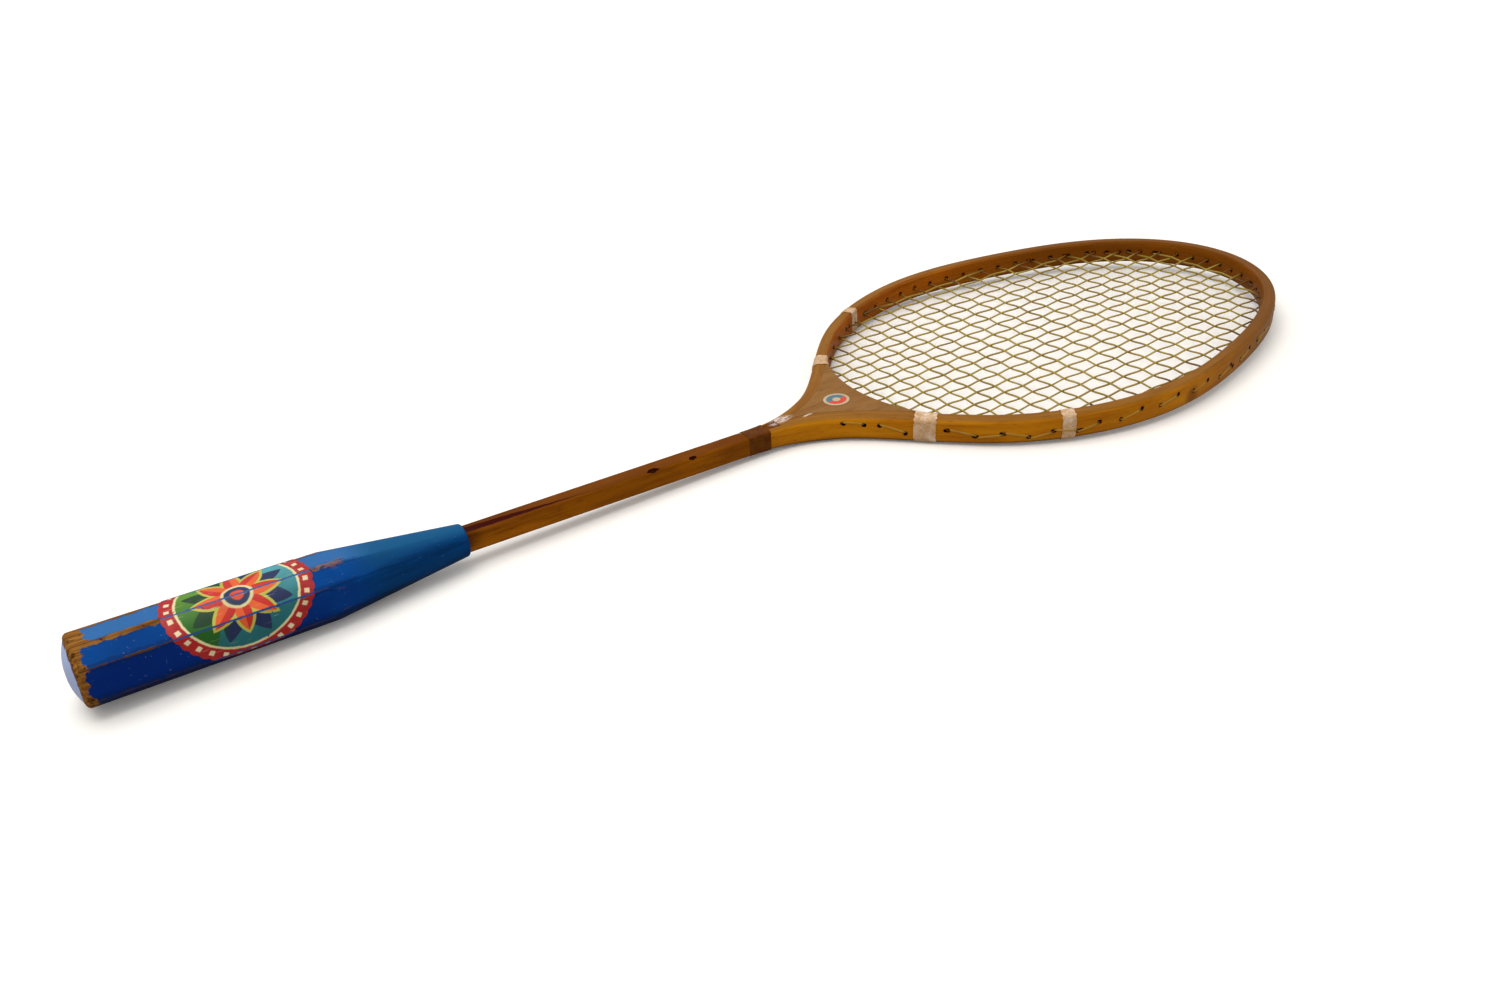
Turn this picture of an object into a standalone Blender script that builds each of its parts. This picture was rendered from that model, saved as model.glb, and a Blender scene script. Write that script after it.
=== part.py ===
"""Wooden badminton racket: a planed and turned handle, a chamfered shaft, a bent three-ply hoop
with its throat wedge, bindings, a paper label, and one main and one cross string.

Lengths are in metres. The butt lies toward -X, the tip of the hoop toward +X, and +Z is up.
Shapes are drawn in the racket's own plan, with x measured from the butt's rim along the shaft's
axis, and an empty places the whole racket with the lower flat of its handle on z = 0.
"""

import math

import bmesh
import bpy
import numpy as np
from mathutils import Matrix, Vector

# Overall sizes, the length from the rim of the butt
LENGTH = 0.655
HEAD_WIDTH = 0.2106
TIP_REACH = 0.1444
THROAT_REACH = 0.1951

# Shape of the head's outline, as waves on its radius about the head's centre
OUTLINE_SHIFT = 0.0010
OUTLINE_EGG = 0.0033
OUTLINE_CORNER = 0.0024
SHOULDER_ANGLE = math.radians(147)
SHOULDER_PULL = 0.047
NECK_PULL = 0.0425
HOOP_STEPS = 30
THROAT_STEPS = 12
FINENESS = 20

# Hoop section, its plies and the wedge in the throat
WALL = 0.0071
DEPTH = 0.0132
PLY_COUNT = 3
EDGE_ROUND = 0.0018
WEDGE_SETBACK = 0.1302
WEDGE_HOLLOW = 0.0088
WEDGE_TIP = 0.0014
WEDGE_STEPS = 7
NOSE = 0.0006
BRIDGE = 0.004

# Neck, where the head is spliced to the shaft, and the upward set of the head
NECK_WIDTH = 0.0094
NECK_DEPTH = 0.0100
NECK_BLEND = 0.036
BEND_LENGTH = 0.063
HEAD_SET = math.radians(2.8)
TONGUE_LENGTH = 0.014
TONGUE_SINK = 0.0002

# Shaft
SHAFT_WIDTH = 0.0092
SHAFT_DEPTH = 0.0100
SHAFT_CHAMFER = 0.0012
TENON_RADIUS = 0.0038
TENON_LENGTH = 0.045
TENON_STEPS = 16

# Handle
HANDLE_LENGTH = 0.162
HANDLE_WIDTH = 0.0287
HANDLE_HEIGHT = 0.0283
TOP_FLAT = 0.0134
SIDE_FLAT = 0.0150
HANDLE_TAPER = 0.315
BUTT_ROUND = 0.0024
BUTT_DOME = 0.0030
DOME_STEPS = 4
CONE_LENGTH = 0.052
COLLAR_RADIUS = 0.0075
COLLAR_ROUND = 0.0010
COLLAR_STEPS = 3
LATHE_STEPS = 32

# Thin coverings
BAND_WIDTH = 0.0122
BAND_FORWARD = 0.0067
BAND_THICKNESS = 0.0006
TAPE_THICKNESS = 0.0003
SHOULDER_TAPE_START = 0.0792
SHOULDER_TAPE_WIDTH = 0.0110
SIDE_TAPE_START = 0.1510
SIDE_TAPE_WIDTH = 0.0068
LABEL_RADIUS = 0.0300
LABEL_CENTRE = 0.0640
LABEL_SHIFT = 0.0065
LABEL_THICKNESS = 0.0002
LABEL_STEPS = 48
ROUNDEL_RADIUS = 0.0067
ROUNDEL_BACK = 0.0144
ROUNDEL_THICKNESS = 0.0002
ROUNDEL_STEPS = 24

# Strings and the holes they run through
MAIN_COUNT = 20
CROSS_COUNT = 24
MAIN_MARGIN = 0.36
CROSS_THROAT_MARGIN = 0.0126
CROSS_TIP_MARGIN = 0.0104
CROSS_CROWDING = 0.103
STRING_RADIUS = 0.0005
HOLE_WEB = 0.0002
THROAT_HOLE_BACKS = (0.0240, 0.0160, 0.0106, 0.0016)
BEND_ROOM = 0.0016
BORE_REACH = 0.0010
LINK_STEP = 0.007
LINK_CREST = 0.0010

# Gap between pieces that touch
GAP = 0.0003

# Fineness of rounded and smooth surfaces
ROUNDING_STEPS = 2
FLAT_ENOUGH = math.radians(0.5)
SHARP_FROM = math.radians(35)
WELD = 1e-6

# Places that follow from the sizes above
HEAD_CENTRE = LENGTH - TIP_REACH
NECK_X = HEAD_CENTRE - THROAT_REACH
WEDGE_X = HEAD_CENTRE - WEDGE_SETBACK
PLY_PITCH = (WALL + GAP) / PLY_COUNT
STRING_CLEAR = STRING_RADIUS + GAP
BED_LEVEL = STRING_CLEAR + HOLE_WEB / 2
TAPE_RISE = GAP + TAPE_THICKNESS
MAIN_PITCH = (HEAD_WIDTH / 2 - WALL) / (MAIN_COUNT / 2 + MAIN_MARGIN)
FIRST_CROSS = WEDGE_X + CROSS_THROAT_MARGIN
LAST_CROSS = LENGTH - WALL - CROSS_TIP_MARGIN


# Scene, objects and modifiers
def make_collection(name):
    collection = bpy.data.collections.new(name)
    bpy.context.scene.collection.children.link(collection)
    return collection


for leftover in list(bpy.data.objects):
    bpy.data.objects.remove(leftover)
PARTS = make_collection("wooden_badminton_racket")
CUTTERS = make_collection("racket_cutters")
ROOT = bpy.data.objects.new("racket_origin", None)
ROOT.location = (
    (BUTT_DOME - LENGTH - STRING_CLEAR - STRING_RADIUS) / 2,
    0,
    HANDLE_HEIGHT / 2 * (1 - HANDLE_TAPER * BUTT_ROUND),
)
PARTS.objects.link(ROOT)


def place(obj, collection=PARTS):
    """Put an object in its collection, carried by the racket's origin."""
    for holder in list(obj.users_collection):
        holder.objects.unlink(obj)
    collection.objects.link(obj)
    obj.parent = ROOT
    if collection is CUTTERS:
        obj.hide_render = True
        obj.display_type = "WIRE"
    return obj


def solid_from(name, shape, collection=PARTS):
    mesh = bpy.data.meshes.new(name)
    shape.to_mesh(mesh)
    shape.free()
    return place(bpy.data.objects.new(name, mesh), collection)


def baked_mesh(obj):
    """The object's mesh with its modifiers in it and any loose caps welded."""
    bpy.context.view_layer.update()
    graph = bpy.context.evaluated_depsgraph_get()
    mesh = bpy.data.meshes.new_from_object(obj.evaluated_get(graph))
    shape = bmesh.new()
    shape.from_mesh(mesh)
    bmesh.ops.remove_doubles(shape, verts=shape.verts, dist=WELD)
    shape.to_mesh(mesh)
    shape.free()
    return mesh


def plate(name, loops, half_thickness, collection=PARTS):
    """A flat plate from closed outlines in plan, the second one being its opening."""
    curve = bpy.data.curves.new(name, "CURVE")
    curve.dimensions = "2D"
    curve.fill_mode = "BOTH"
    curve.extrude = half_thickness
    for loop in loops:
        spline = curve.splines.new("POLY")
        spline.points.add(len(loop) - 1)
        for point, (x, y) in zip(spline.points, loop):
            point.co = (x, y, 0, 1)
        spline.use_cyclic_u = True
    drawn = place(bpy.data.objects.new(name + "_outline", curve), collection)
    solid = place(bpy.data.objects.new(name, baked_mesh(drawn)), collection)
    bpy.data.objects.remove(drawn)
    return solid


def box(name, low, high, collection=PARTS):
    shape = bmesh.new()
    bmesh.ops.create_cube(shape, size=1.0)
    low, high = Vector(low), Vector(high)
    size = high - low
    bmesh.ops.scale(shape, vec=size, verts=shape.verts)
    bmesh.ops.translate(shape, vec=(low + high) / 2, verts=shape.verts)
    return solid_from(name, shape, collection)


def rod_x(name, start, end, radius, steps, collection=PARTS):
    """A round rod along the shaft's axis."""
    shape = bmesh.new()
    lie_down = Matrix.Translation(((start + end) / 2, 0, 0)) @ Matrix.Rotation(math.pi / 2, 4, "Y")
    bmesh.ops.create_cone(
        shape, cap_ends=True, segments=steps, radius1=radius, radius2=radius,
        depth=end - start, matrix=lie_down,
    )
    return solid_from(name, shape, collection)


def boolean(obj, tool, operation="DIFFERENCE"):
    step = obj.modifiers.new(tool.name, "BOOLEAN")
    step.operation = operation
    step.solver = "EXACT"
    step.object = tool


def merge_flats(obj):
    """Merge the triangles of each flat face into one."""
    shape = bmesh.new()
    shape.from_mesh(obj.data)
    bmesh.ops.dissolve_limit(
        shape, angle_limit=FLAT_ENOUGH, verts=shape.verts, edges=shape.edges
    )
    shape.to_mesh(obj.data)
    shape.free()


def round_edges(obj, width, segments, wanted):
    """Round the edges whose two ends satisfy wanted."""
    mesh = obj.data
    weights = mesh.attributes.new("bevel_weight_edge", "FLOAT", "EDGE")
    for edge in mesh.edges:
        first, second = (mesh.vertices[i].co for i in edge.vertices)
        if wanted(first, second):
            weights.data[edge.index].value = 1.0
    step = obj.modifiers.new("rounded_edges", "BEVEL")
    step.width = width
    step.segments = segments
    step.limit_method = "WEIGHT"


def paint(obj, colour, roughness):
    made = bpy.data.materials.new(obj.name)
    made.use_nodes = True
    shader = made.node_tree.nodes["Principled BSDF"]
    shader.inputs["Base Color"].default_value = (*colour, 1)
    shader.inputs["Roughness"].default_value = roughness
    shader.inputs["Metallic"].default_value = 0.0
    obj.data.materials.clear()
    obj.data.materials.append(made)


def smooth(obj):
    obj.data.shade_smooth()
    obj.data.set_sharp_from_angle(angle=SHARP_FROM)


# Upward set of the head: level at the neck, then one even slope through the hoop
def rise(x):
    along = min(max(x - NECK_X, 0.0), BEND_LENGTH)
    beyond = max(x - NECK_X - BEND_LENGTH, 0.0)
    return math.tan(HEAD_SET) * (along * along / (2 * BEND_LENGTH) + beyond)


def depth_share(x):
    """The head's depth at x as a share of the hoop's: the throat thins toward the neck."""
    part = min(max((x - NECK_X) / NECK_BLEND, 0.0), 1.0)
    eased = part * part * (3 - 2 * part)
    return (NECK_DEPTH + (DEPTH - NECK_DEPTH) * eased) / DEPTH


def set_point(point):
    """A point of the flat head, moved to its place in the set head."""
    x, y, z = point
    return Vector((x, y, rise(x) + z * depth_share(x)))


def set_head(obj):
    """Bake the modifiers of a flat piece and give it the head's upward set."""
    mesh = baked_mesh(obj)
    obj.modifiers.clear()
    obj.data = mesh
    for vertex in mesh.vertices:
        vertex.co = set_point(vertex.co)


# Outline of the head in plan: the half with y > 0, from the neck to the tip
def hoop_point(angle):
    half_width = HEAD_WIDTH / 2
    odd_waves = OUTLINE_SHIFT + OUTLINE_EGG
    mean = (TIP_REACH + half_width - odd_waves) / 2 - OUTLINE_CORNER
    stretch = (TIP_REACH - half_width - odd_waves) / 2
    radius = mean + OUTLINE_SHIFT * math.cos(angle) + stretch * math.cos(2 * angle)
    radius += OUTLINE_EGG * math.cos(3 * angle) + OUTLINE_CORNER * math.cos(4 * angle)
    return np.array([HEAD_CENTRE + radius * math.cos(angle), radius * math.sin(angle)])


def half_outline(throat_steps, hoop_steps):
    """A flare from the neck to the shoulder, then the bent hoop to the tip."""
    shoulder = hoop_point(SHOULDER_ANGLE)
    heading = hoop_point(SHOULDER_ANGLE + 0.001) - shoulder
    heading /= np.linalg.norm(heading)
    neck = np.array([NECK_X, NECK_WIDTH / 2])
    neck_handle = neck + [NECK_PULL, 0]
    shoulder_handle = shoulder + SHOULDER_PULL * heading
    points = []
    for i in range(throat_steps):
        t = i / throat_steps
        s = 1 - t
        near_neck = s**3 * neck + 3 * s * s * t * neck_handle
        points.append(near_neck + 3 * s * t * t * shoulder_handle + t**3 * shoulder)
    for i in range(hoop_steps + 1):
        points.append(hoop_point(SHOULDER_ANGLE * (1 - i / hoop_steps)))
    return np.array(points)


def outward(points):
    """Unit normals of the half outline, pointing out of the head."""
    along = np.gradient(points, axis=0)
    along[-1] = (0, -1)
    normal = np.column_stack([-along[:, 1], along[:, 0]])
    return normal / np.linalg.norm(normal, axis=1)[:, None]


OUTLINE = half_outline(THROAT_STEPS * FINENESS, HOOP_STEPS * FINENESS)
NORMAL = outward(OUTLINE)
RUN = np.concatenate([[0], np.cumsum(np.linalg.norm(np.diff(OUTLINE, axis=0), axis=1))])
WIDEST = int(np.argmax(OUTLINE[:, 1]))


def inset_outline(inset):
    return OUTLINE - NORMAL * inset


WEDGE_SIDE = inset_outline(PLY_COUNT * PLY_PITCH)
WEDGE_END = int(np.argmax(WEDGE_SIDE[:, 0] >= WEDGE_X + WEDGE_HOLLOW - WEDGE_TIP))
WEDGE_REACH = float(WEDGE_SIDE[WEDGE_END, 1])


def wedge_edge(y):
    """The hollow edge of the wedge, facing the strings, at a distance from the axis."""
    return WEDGE_X + WEDGE_HOLLOW * (y / WEDGE_REACH) ** 2


def stations(first, last=len(OUTLINE) - 1):
    """Outline indices from first to last at the coarse spacing."""
    kept = [i for i in range(0, last, FINENESS) if first + FINENESS // 3 < i < last - FINENESS // 3]
    return [first] + kept + [last]


def both_sides(half):
    """A closed outline from its half with y >= 0."""
    other = half[half[:, 1] > WELD][::-1] * [1, -1]
    return np.vstack([half, other])


def ring_half(inset, start_x):
    """The half outline moved into the wood, from start_x or from where it nears the axis."""
    curve = inset_outline(inset)
    inside = (curve[:, 0] >= start_x) & (curve[:, 1] >= NOSE)
    return curve[stations(int(np.argmax(inside)))]


def wedge_hollow():
    """The wedge's hollow edge from the axis to its tip."""
    reaches = [WEDGE_REACH * i / WEDGE_STEPS for i in range(WEDGE_STEPS + 1)]
    return [(wedge_edge(y), y) for y in reaches]


def bed_half(margin):
    """Half of the opening that holds the strings, drawn in by a margin."""
    curve = inset_outline(WALL + margin)
    hollow = [(x + margin, y) for x, y in wedge_hollow()]
    past = (curve[:, 0] > hollow[-1][0]) & (curve[:, 1] > WEDGE_REACH)
    return np.vstack([hollow, curve[stations(int(np.argmax(past)))]])


# Holes and string paths, in the flat head
def outer_point(from_tip, clearance):
    """A point over the outer face, at a signed distance round the hoop from the tip."""
    run = RUN[-1] - abs(from_tip)
    side = 1 if from_tip >= 0 else -1
    curve = inset_outline(-clearance)
    return np.array([np.interp(run, RUN, curve[:, 0]), side * np.interp(run, RUN, curve[:, 1])])


def run_at_x(x):
    """Distance from the neck along the outline of the string's path over a hole at x."""
    return float(np.interp(x, inset_outline(-STRING_CLEAR)[:, 0], RUN))


def cross_x(i):
    """Crosses lie closer together near the throat and the tip than in the middle."""
    u = i / (CROSS_COUNT - 1)
    return FIRST_CROSS + (LAST_CROSS - FIRST_CROSS) * (
        u - CROSS_CROWDING * math.sin(2 * math.pi * u) / (2 * math.pi)
    )


def main_run(k):
    """Where the k-th main from the axis leaves the throat side, along the outline.

    The inner ones have holes of their own in the throat, and the rest share the crosses' holes."""
    if k < len(THROAT_HOLE_BACKS):
        return run_at_x(WEDGE_X - THROAT_HOLE_BACKS[k])
    return run_at_x(cross_x(k - len(THROAT_HOLE_BACKS)))


def main_bends(k):
    """The two places where the k-th main from the axis turns into its holes: throat, then tip."""
    y = (k + 0.5) * MAIN_PITCH
    curve = inset_outline(WALL + BEND_ROOM)
    throat_x = float(np.interp(y, curve[:WIDEST, 1], curve[:WIDEST, 0]))
    if y < WEDGE_REACH:
        throat_x = max(throat_x, wedge_edge(y) + BEND_ROOM)
    tip_index = WIDEST + int(np.argmax(curve[WIDEST:, 1] <= y))
    return (throat_x, y), (curve[tip_index, 0], y), RUN[tip_index]


def link(start, end):
    """The path over the outer face from one hole to the next, lifted where it crosses a tape."""
    low, high = sorted(RUN[-1] - abs(q) for q in (start, end))
    side = 1 if start >= 0 else -1
    if start * end > 0:
        for tape_start, tape_width in TAPES:
            if low < tape_start and tape_start + tape_width < high:
                crests = [tape_start - LINK_CREST, tape_start + tape_width + LINK_CREST]
                if abs(start) < abs(end):
                    crests.reverse()
                return [outer_point(side * (RUN[-1] - c), STRING_CLEAR + TAPE_RISE) for c in crests]
    count = math.ceil(abs(end - start) / LINK_STEP)
    between = [start + (end - start) * i / count for i in range(1, count)]
    return [outer_point(q, STRING_CLEAR) for q in between]


def main_string_path():
    """One string, up and down the bed from the far edge to the near one."""
    path = []
    bores = []
    half = MAIN_COUNT // 2
    last_exit = None
    for n in range(MAIN_COUNT):
        side = 1 if n < half else -1
        k = half - 1 - n if n < half else n - half
        (throat_x, y), (tip_x, _), tip_run = main_bends(k)
        ends = []
        for x, run in ((tip_x, tip_run), (throat_x, main_run(k))):
            around = side * (RUN[-1] - run)
            ends.append((around, outer_point(around, STRING_CLEAR), np.array([x, side * y])))
        if n % 2:
            ends.reverse()
        for around, outside, bend in ends:
            bores.append((outside, bend))
        if last_exit is not None:
            path.extend(link(last_exit, ends[0][0]))
        path.extend([ends[0][1], ends[0][2], ends[1][2], ends[1][1]])
        last_exit = ends[1][0]
    return path, bores


def cross_string_path():
    """One string, from side to side, from the throat to the tip."""
    path = []
    bores = []
    last_exit = None
    for i in range(CROSS_COUNT):
        run = run_at_x(cross_x(i))
        around = RUN[-1] - run
        outside = outer_point(around, STRING_CLEAR)
        slant = np.interp(run, RUN, NORMAL[:, 1])
        inside = outside - [0, (STRING_CLEAR + WALL + BEND_ROOM) / slant]
        near_first = i % 2 == 0
        sides = (-1, 1) if near_first else (1, -1)
        if last_exit is not None:
            path.extend(link(last_exit, sides[0] * around))
        for side in sides:
            path.append(outside * [1, side])
            bores.append((outside * [1, side], inside * [1, side]))
        last_exit = sides[1] * around
    return path, bores


def string_tube(name, path, level):
    curve = bpy.data.curves.new(name, "CURVE")
    curve.dimensions = "3D"
    curve.bevel_depth = STRING_RADIUS
    curve.bevel_resolution = 1
    curve.use_fill_caps = True
    spline = curve.splines.new("POLY")
    spline.points.add(len(path) - 1)
    for point, (x, y) in zip(spline.points, path):
        point.co = (*set_point((x, y, level)), 1)
    return place(bpy.data.objects.new(name, curve))


def bore_cutter(name, bores, level):
    """Square holes for one string, flat sides up so that the two strings' holes stay apart."""
    shape = bmesh.new()
    for outside, inside in bores:
        run = Vector((*(outside - inside), 0))
        away = run.normalized()
        start = Vector((*inside, level)) - away * BORE_REACH
        end = Vector((*outside, level)) + away * (BORE_REACH + STRING_RADIUS)
        turn = away.to_track_quat("Z", "Y").to_matrix().to_4x4()
        quarter = Matrix.Rotation(math.pi / 4, 4, "Z")
        bmesh.ops.create_cone(
            shape, cap_ends=True, segments=4,
            radius1=STRING_CLEAR * math.sqrt(2), radius2=STRING_CLEAR * math.sqrt(2),
            depth=(end - start).length, matrix=Matrix.Translation((start + end) / 2) @ turn @ quarter,
        )
    return solid_from(name, shape, CUTTERS)


TAPES = (
    (SHOULDER_TAPE_START, SHOULDER_TAPE_WIDTH),
    (SIDE_TAPE_START, SIDE_TAPE_WIDTH),
)
MAIN_PATH, MAIN_BORES = main_string_path()
CROSS_PATH, CROSS_BORES = cross_string_path()
main_bores = bore_cutter("main_string_holes", MAIN_BORES, BED_LEVEL)
cross_bores = bore_cutter("cross_string_holes", CROSS_BORES, -BED_LEVEL)


def drill(obj):
    boolean(obj, main_bores)
    boolean(obj, cross_bores)


# Strings: the mains lie over the crosses
main_string = string_tube("main_string", MAIN_PATH, BED_LEVEL)
paint(main_string, (0.52, 0.47, 0.27), 0.4)
cross_string = string_tube("cross_string", CROSS_PATH, -BED_LEVEL)
paint(cross_string, (0.50, 0.45, 0.25), 0.4)


# Hoop: three plies bent one inside the other. The outer one is an open loop, and its two ends lie
# either side of the shaft's tongue. The other two close in a point behind the wedge.
def on_outer_face(corner):
    """Whether a corner of a plate lies on the outline itself."""
    return np.hypot(OUTLINE[:, 0] - corner.x, OUTLINE[:, 1] - abs(corner.y)).min() < PLY_PITCH / 8


WOOD = (0.40, 0.19, 0.035)
outer_side = inset_outline(0)[stations(0)]
inner_side = inset_outline(PLY_PITCH - GAP)[stations(0)]
horseshoe = np.vstack([
    outer_side, (outer_side[:-1] * [1, -1])[::-1], inner_side * [1, -1], inner_side[-2::-1]
])
hoop_ply_outer = plate("hoop_ply_outer", [horseshoe], DEPTH / 2)
merge_flats(hoop_ply_outer)
round_edges(
    hoop_ply_outer, EDGE_ROUND, ROUNDING_STEPS,
    lambda a, b: abs(a.z - b.z) < GAP and on_outer_face(a) and on_outer_face(b),
)
drill(hoop_ply_outer)
set_head(hoop_ply_outer)
paint(hoop_ply_outer, WOOD, 0.4)
smooth(hoop_ply_outer)

for order, name in ((1, "hoop_ply_middle"), (2, "hoop_ply_inner")):
    start_x = NECK_X + TONGUE_LENGTH + GAP + (order - 1) * (BRIDGE + GAP)
    outside = both_sides(ring_half(order * PLY_PITCH, start_x))
    inside = both_sides(ring_half((order + 1) * PLY_PITCH - GAP, start_x + BRIDGE))
    ply = plate(name, [outside, inside], DEPTH / 2)
    drill(ply)
    set_head(ply)
    paint(ply, WOOD, 0.4)
    smooth(ply)

# Wedge filling the throat, its edge to the strings hollowed
start_x = NECK_X + TONGUE_LENGTH + GAP + PLY_COUNT * (BRIDGE + GAP) - BRIDGE
first = int(np.argmax((WEDGE_SIDE[:, 0] >= start_x) & (WEDGE_SIDE[:, 1] >= NOSE)))
half = np.vstack([WEDGE_SIDE[stations(first, WEDGE_END)], wedge_hollow()[::-1]])
throat_wedge = plate("throat_wedge", [both_sides(half)], DEPTH / 2)
drill(throat_wedge)
set_head(throat_wedge)
paint(throat_wedge, (0.45, 0.24, 0.07), 0.45)
smooth(throat_wedge)

# Shaft: a chamfered bar with a round tenon in the handle and a flat tongue in the neck
shaft_start = HANDLE_LENGTH + GAP
shaft_end = NECK_X - GAP
shaft = box(
    "shaft",
    (shaft_start, -SHAFT_WIDTH / 2, -SHAFT_DEPTH / 2),
    (shaft_end, SHAFT_WIDTH / 2, SHAFT_DEPTH / 2),
)
round_edges(shaft, SHAFT_CHAMFER, 1, lambda a, b: abs(a.x - b.x) > SHAFT_WIDTH)
tenon = rod_x(
    "tenon", HANDLE_LENGTH - TENON_LENGTH, shaft_start + SHAFT_WIDTH, TENON_RADIUS,
    TENON_STEPS, CUTTERS,
)
tongue_half_width = NECK_WIDTH / 2 - PLY_PITCH
tongue_half_depth = NECK_DEPTH / 2 - TONGUE_SINK
tongue = box(
    "tongue",
    (shaft_end - SHAFT_WIDTH, -tongue_half_width, -tongue_half_depth),
    (NECK_X + TONGUE_LENGTH, tongue_half_width, tongue_half_depth),
    CUTTERS,
)
boolean(shaft, tenon, "UNION")
boolean(shaft, tongue, "UNION")
paint(shaft, (0.25, 0.09, 0.01), 0.35)


# Handle: an eight-sided grip that tapers forward, domed at its butt and turned to a cone in front
def stand_along(obj, start, length):
    """Turn a plate drawn across the shaft so that its thickness runs along the shaft."""
    for vertex in obj.data.vertices:
        y, z, along = vertex.co
        vertex.co = (start + length / 2 + along, y, z)
    return obj


def handle_scale(x):
    return 1 - HANDLE_TAPER * x


def dome_butt(obj, flat_radius):
    """Raise the flat end of the butt to a low dome, ring by ring."""
    mesh = baked_mesh(obj)
    obj.modifiers.clear()
    obj.data = mesh
    shape = bmesh.new()
    shape.from_mesh(mesh)
    end = min(shape.faces, key=lambda face: face.calc_center_median().x)
    full = 1 - 1 / DOME_STEPS**2
    for i in range(1, DOME_STEPS):
        climb = (1 - (i - 1) / DOME_STEPS) ** 2 - (1 - i / DOME_STEPS) ** 2
        bmesh.ops.inset_region(
            shape, faces=[end], thickness=flat_radius / DOME_STEPS, depth=BUTT_DOME * climb / full
        )
    shape.to_mesh(mesh)
    shape.free()


def cone_profile():
    """The turned surface as radius and distance from the butt, from the collar back to the grip."""
    clear = HANDLE_WIDTH
    shoulder = HANDLE_LENGTH - CONE_LENGTH
    shoulder_radius = HANDLE_WIDTH / 2 * handle_scale(shoulder)
    slope = (shoulder_radius - COLLAR_RADIUS) / CONE_LENGTH
    points = [(0, HANDLE_LENGTH)]
    for i in range(COLLAR_STEPS + 1):
        turn = math.pi / 2 * i / COLLAR_STEPS
        radius = COLLAR_RADIUS - COLLAR_ROUND * (1 - math.sin(turn))
        points.append((radius, HANDLE_LENGTH - COLLAR_ROUND * (1 - math.cos(turn))))
    start = HANDLE_LENGTH - (clear - COLLAR_RADIUS) / slope
    points.append((clear, start))
    points.append((clear, min(start, 0) - clear))
    points.append((0, min(start, 0) - clear))
    return points


def turned(name, profile, steps):
    """A solid turned about the shaft's axis from a profile of radius and distance along it."""
    shape = bmesh.new()
    line = [shape.verts.new((radius, 0, along)) for radius, along in profile]
    for first_end, second_end in zip(line, line[1:]):
        shape.edges.new((first_end, second_end))
    solid = solid_from(name, shape, CUTTERS)
    step = solid.modifiers.new("turned", "SCREW")
    step.steps = steps
    step.render_steps = steps
    step.use_merge_vertices = True
    step.merge_threshold = WELD
    mesh = baked_mesh(solid)
    solid.modifiers.clear()
    solid.data = mesh
    for vertex in mesh.vertices:
        across, height, along = vertex.co
        vertex.co = (along, across, height)
    return solid


half_width = HANDLE_WIDTH / 2
half_height = HANDLE_HEIGHT / 2
quarter = [(half_width, SIDE_FLAT / 2), (TOP_FLAT / 2, half_height)]
octagon = quarter + [(-y, z) for y, z in quarter[::-1]]
octagon += [(-y, -z) for y, z in quarter] + [(y, -z) for y, z in quarter[::-1]]
handle = stand_along(plate("handle", [octagon], HANDLE_LENGTH / 2), 0, HANDLE_LENGTH)
for vertex in handle.data.vertices:
    vertex.co.y *= handle_scale(vertex.co.x)
    vertex.co.z *= handle_scale(vertex.co.x)
merge_flats(handle)
round_edges(handle, BUTT_ROUND, ROUNDING_STEPS, lambda a, b: a.x < GAP and b.x < GAP)
dome_butt(handle, half_height - BUTT_ROUND)
cone = turned("handle_cone", cone_profile(), LATHE_STEPS)
socket = rod_x(
    "handle_socket", HANDLE_LENGTH - TENON_LENGTH - GAP, HANDLE_LENGTH + TENON_RADIUS,
    TENON_RADIUS + GAP, TENON_STEPS, CUTTERS,
)
boolean(handle, cone, "INTERSECT")
boolean(handle, socket)
paint(handle, (0.02, 0.11, 0.36), 0.45)
smooth(handle)

# Band bound over the splice of shaft and hoop
band_end = NECK_X + BAND_FORWARD
inner_y = float(np.interp(band_end, OUTLINE[:, 0], OUTLINE[:, 1])) + GAP
inner_z = DEPTH / 2 * depth_share(band_end) + rise(band_end) + GAP


def rectangle(y, z):
    return [(y, z), (-y, z), (-y, -z), (y, -z)]


band_loops = [
    rectangle(inner_y + BAND_THICKNESS, inner_z + BAND_THICKNESS),
    rectangle(inner_y, inner_z),
]
splice_band = plate("splice_band", band_loops, BAND_WIDTH / 2)
stand_along(splice_band, band_end - BAND_WIDTH, BAND_WIDTH)
paint(splice_band, (0.07, 0.025, 0.005), 0.5)


# Tapes wrapped round the hoop
def wrap(name, margin, collection):
    """The whole head, from its outline to the opening for the strings, grown by a margin."""
    outside = both_sides(inset_outline(-margin)[stations(0)])
    return plate(name, [outside, both_sides(bed_half(margin))], DEPTH / 2 + margin, collection)


def tape_slab(name, side, start, width):
    """A box across the hoop where a tape goes round it."""
    middle = start + width / 2
    centre = np.array([np.interp(middle, RUN, OUTLINE[:, i]) for i in (0, 1)])
    normal = np.array([np.interp(middle, RUN, NORMAL[:, i]) for i in (0, 1)])
    slab = box(
        name,
        (-width / 2, -WALL * 2, -DEPTH),
        (width / 2, WALL, DEPTH),
        CUTTERS,
    )
    turn = math.atan2(normal[1], normal[0]) - math.pi / 2
    for vertex in slab.data.vertices:
        flat = Matrix.Rotation(turn, 3, "Z") @ vertex.co
        vertex.co = (centre[0] + flat.x, side * (centre[1] + flat.y), flat.z)
    if side < 0:
        slab.data.flip_normals()
    return slab


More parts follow.
